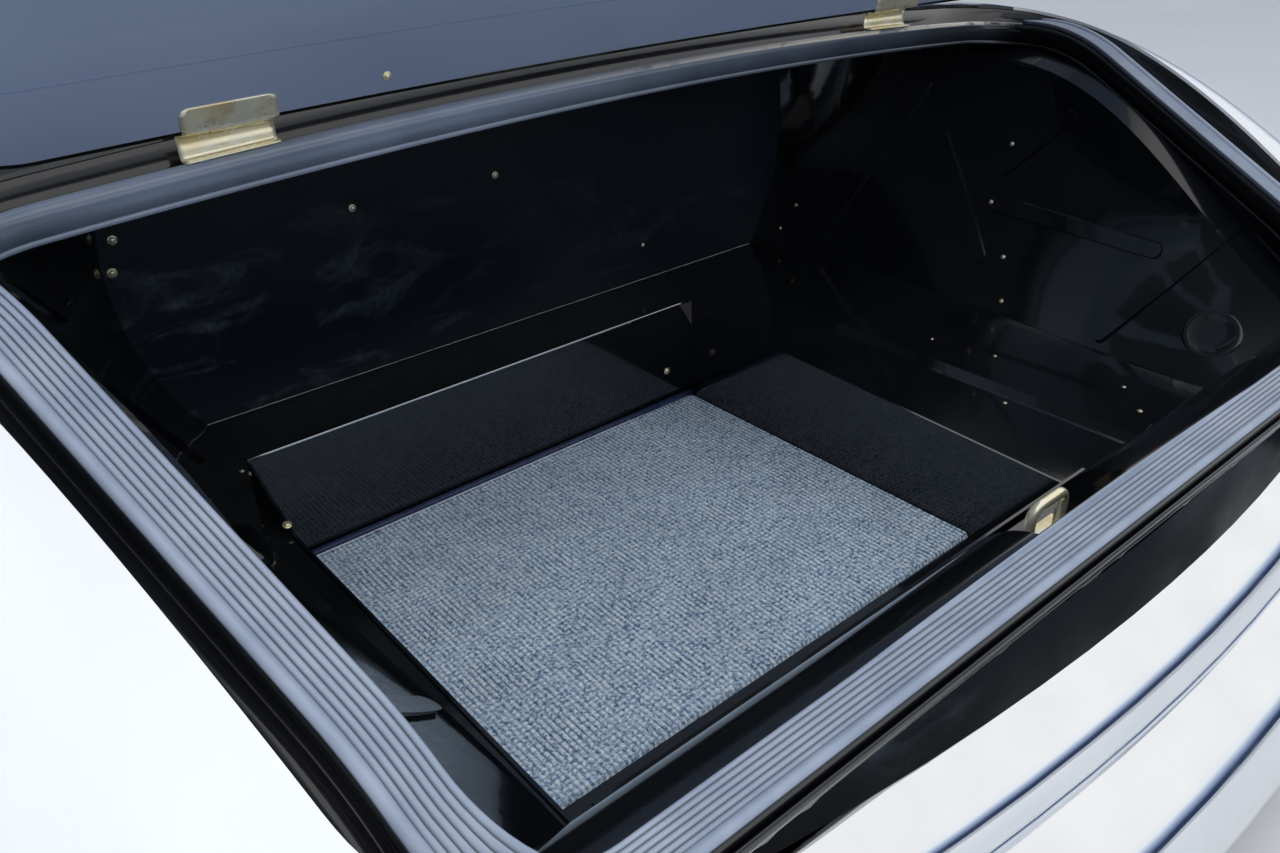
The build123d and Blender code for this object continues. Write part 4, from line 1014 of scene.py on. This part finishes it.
def trim_section(front_y, rear_y, low_z, high_z, radius):
    """A bar's section with its two upper corners rounded."""
    corner = rounded_corner(radius, TRIM_CORNER_STEPS)
    section = [(front_y, low_z)]
    section += [(front_y - near, high_z - far) for near, far in corner]
    section += [(rear_y + far, high_z - near) for near, far in corner]
    section.append((rear_y, low_z))
    return section


def make_trim():
    """The carpet's navy edging, and two chrome bars that stand in for painted highlights: a thin line along
    the edging and the hem of the wall behind.
    """
    for name, host, edge, finish, slot_name, front, rear, low, high, radius, end_gap in TRIM_BARS:
        host_low, host_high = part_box(host)
        edge_y = host_high[1] if edge == "front" else host_low[1]
        top_z = host_high[2]
        section = trim_section(edge_y + front, edge_y + rear, top_z + low, top_z + high, radius)
        points, faces = bar(section, host_low[0] + end_gap, host_high[0] - end_gap)
        mesh_piece(name, points, faces, "tail", FINISHES[finish])


def make_camera():
    """The photograph's viewpoint."""
    data = bpy.data.cameras.new("camera")
    data.lens = CAMERA_LENS
    data.sensor_width = SENSOR_WIDTH
    data.sensor_fit = "HORIZONTAL"
    data.clip_start = 0.01
    camera = link(bpy.data.objects.new("camera", data))
    camera.location = CAMERA_PLACE
    camera.rotation_euler = CAMERA_TURN
    bpy.context.scene.camera = camera


FLOOR_REACH = 30.0
FLOOR_GAP = 0.002


def make_floor():
    """A plain pale floor under the section."""
    low_z = cad_bounds[0][2] - FLOOR_GAP
    corners = [(x * FLOOR_REACH, y * FLOOR_REACH, low_z) for x, y in ((-1, -1), (1, -1), (1, 1), (-1, 1))]
    mesh = bpy.data.meshes.new("floor")
    mesh.from_pydata(corners, [], [(0, 1, 2, 3)])
    made, tree, shader = new_finish("floor")
    clouds = noise_map(tree, 2.0, detail=3.0)
    greys = ramp(tree, clouds, (0.3, (0.74, 0.74, 0.73)), (0.8, (0.78, 0.78, 0.77)))
    feed(tree, shader.inputs["Base Color"], greys)
    shader.inputs["Roughness"].default_value = 0.7
    mesh.materials.append(made)
    link(bpy.data.objects.new("floor", mesh))


# World: the sky that lights the part and the paper that mirrored rays see, from straight down to up
SKY = (
    (0.0, (0.44, 0.45, 0.47)), (0.47, (0.30, 0.32, 0.35)), (0.58, (0.34, 0.38, 0.45)),
    (0.70, (0.80, 0.86, 0.96)), (1.0, (0.72, 0.80, 0.96)),
)
SKY_STRENGTH = 0.75
PAPER = (
    (0.42, (0.40, 0.44, 0.52)), (0.465, (0.020, 0.030, 0.065)), (0.53, (0.035, 0.055, 0.12)),
    (0.57, (0.36, 0.46, 0.66)), (0.61, (0.92, 0.96, 1.0)), (0.66, (1.0, 1.0, 1.0)),
)
PAPER_SIDE = (0.7, -0.7, 0.0)
PAPER_SHARE = ((0.0, 0.04), (0.48, 0.28), (0.72, 1.0))
MIRRORED_DARK = (0.010, 0.013, 0.018)
LAMPS = (
    # name, place, aim, width, height, watts
    ("overhead", (-1.2, -1.2, 3.4), (0.0, -0.5, 0.2), 3.0, 2.0, 60.0),
    ("left_fill", (-3.6, 0.2, 1.8), (0.2, -0.5, 0.2), 2.2, 1.6, 25.0),
    ("rear_fill", (1.2, -4.0, 1.6), (0.0, -0.5, 0.2), 2.4, 1.4, 26.0),
)


def make_world():
    """A pale sky; mirrored rays see white paper behind and to the right, and the dark elsewhere."""
    world = bpy.data.worlds.new("studio")
    world.use_nodes = True
    bpy.context.scene.world = world
    tree = world.node_tree
    direction = add_node(tree, "ShaderNodeTexCoord").outputs["Generated"]
    up = add_node(tree, "ShaderNodeSeparateXYZ", {"Vector": direction}).outputs["Z"]
    raised = maths(tree, "MULTIPLY_ADD", up, 0.5, 0.5)
    sky = ramp(tree, raised, *SKY)
    paper = ramp(tree, raised, *PAPER)
    facing = add_node(tree, "ShaderNodeVectorMath", {0: direction, 1: PAPER_SIDE}, operation="DOT_PRODUCT")
    share = ramp(tree, maths(tree, "ADD", facing.outputs["Value"], 0.5), *PAPER_SHARE)
    mirrored = mixed(tree, share, MIRRORED_DARK, paper)
    ray = add_node(tree, "ShaderNodeLightPath").outputs["Is Glossy Ray"]
    background = tree.nodes["Background"]
    feed(tree, background.inputs["Color"], mixed(tree, ray, sky, mirrored))
    feed(tree, background.inputs["Strength"], maths(tree, "MAXIMUM", ray, SKY_STRENGTH))


def make_lamps():
    """Three soft lamps that no mirrored ray sees."""
    for name, place, aim, width, height, watts in LAMPS:
        data = bpy.data.lights.new(name, "AREA")
        data.shape = "RECTANGLE"
        data.size = width
        data.size_y = height
        data.energy = watts
        lamp = link(bpy.data.objects.new(name, data))
        lamp.location = place
        lamp.rotation_euler = (Vector(aim) - Vector(place)).to_track_quat("-Z", "Y").to_euler()
        lamp.visible_glossy = False


make_camera()
make_floor()
make_world()
make_lamps()
bpy.context.scene.view_settings.view_transform = "Standard"
finish_nodes()
make_carpet()
make_flange()
make_seal()
make_hinges()
make_screws()
make_dimple()
make_trim()
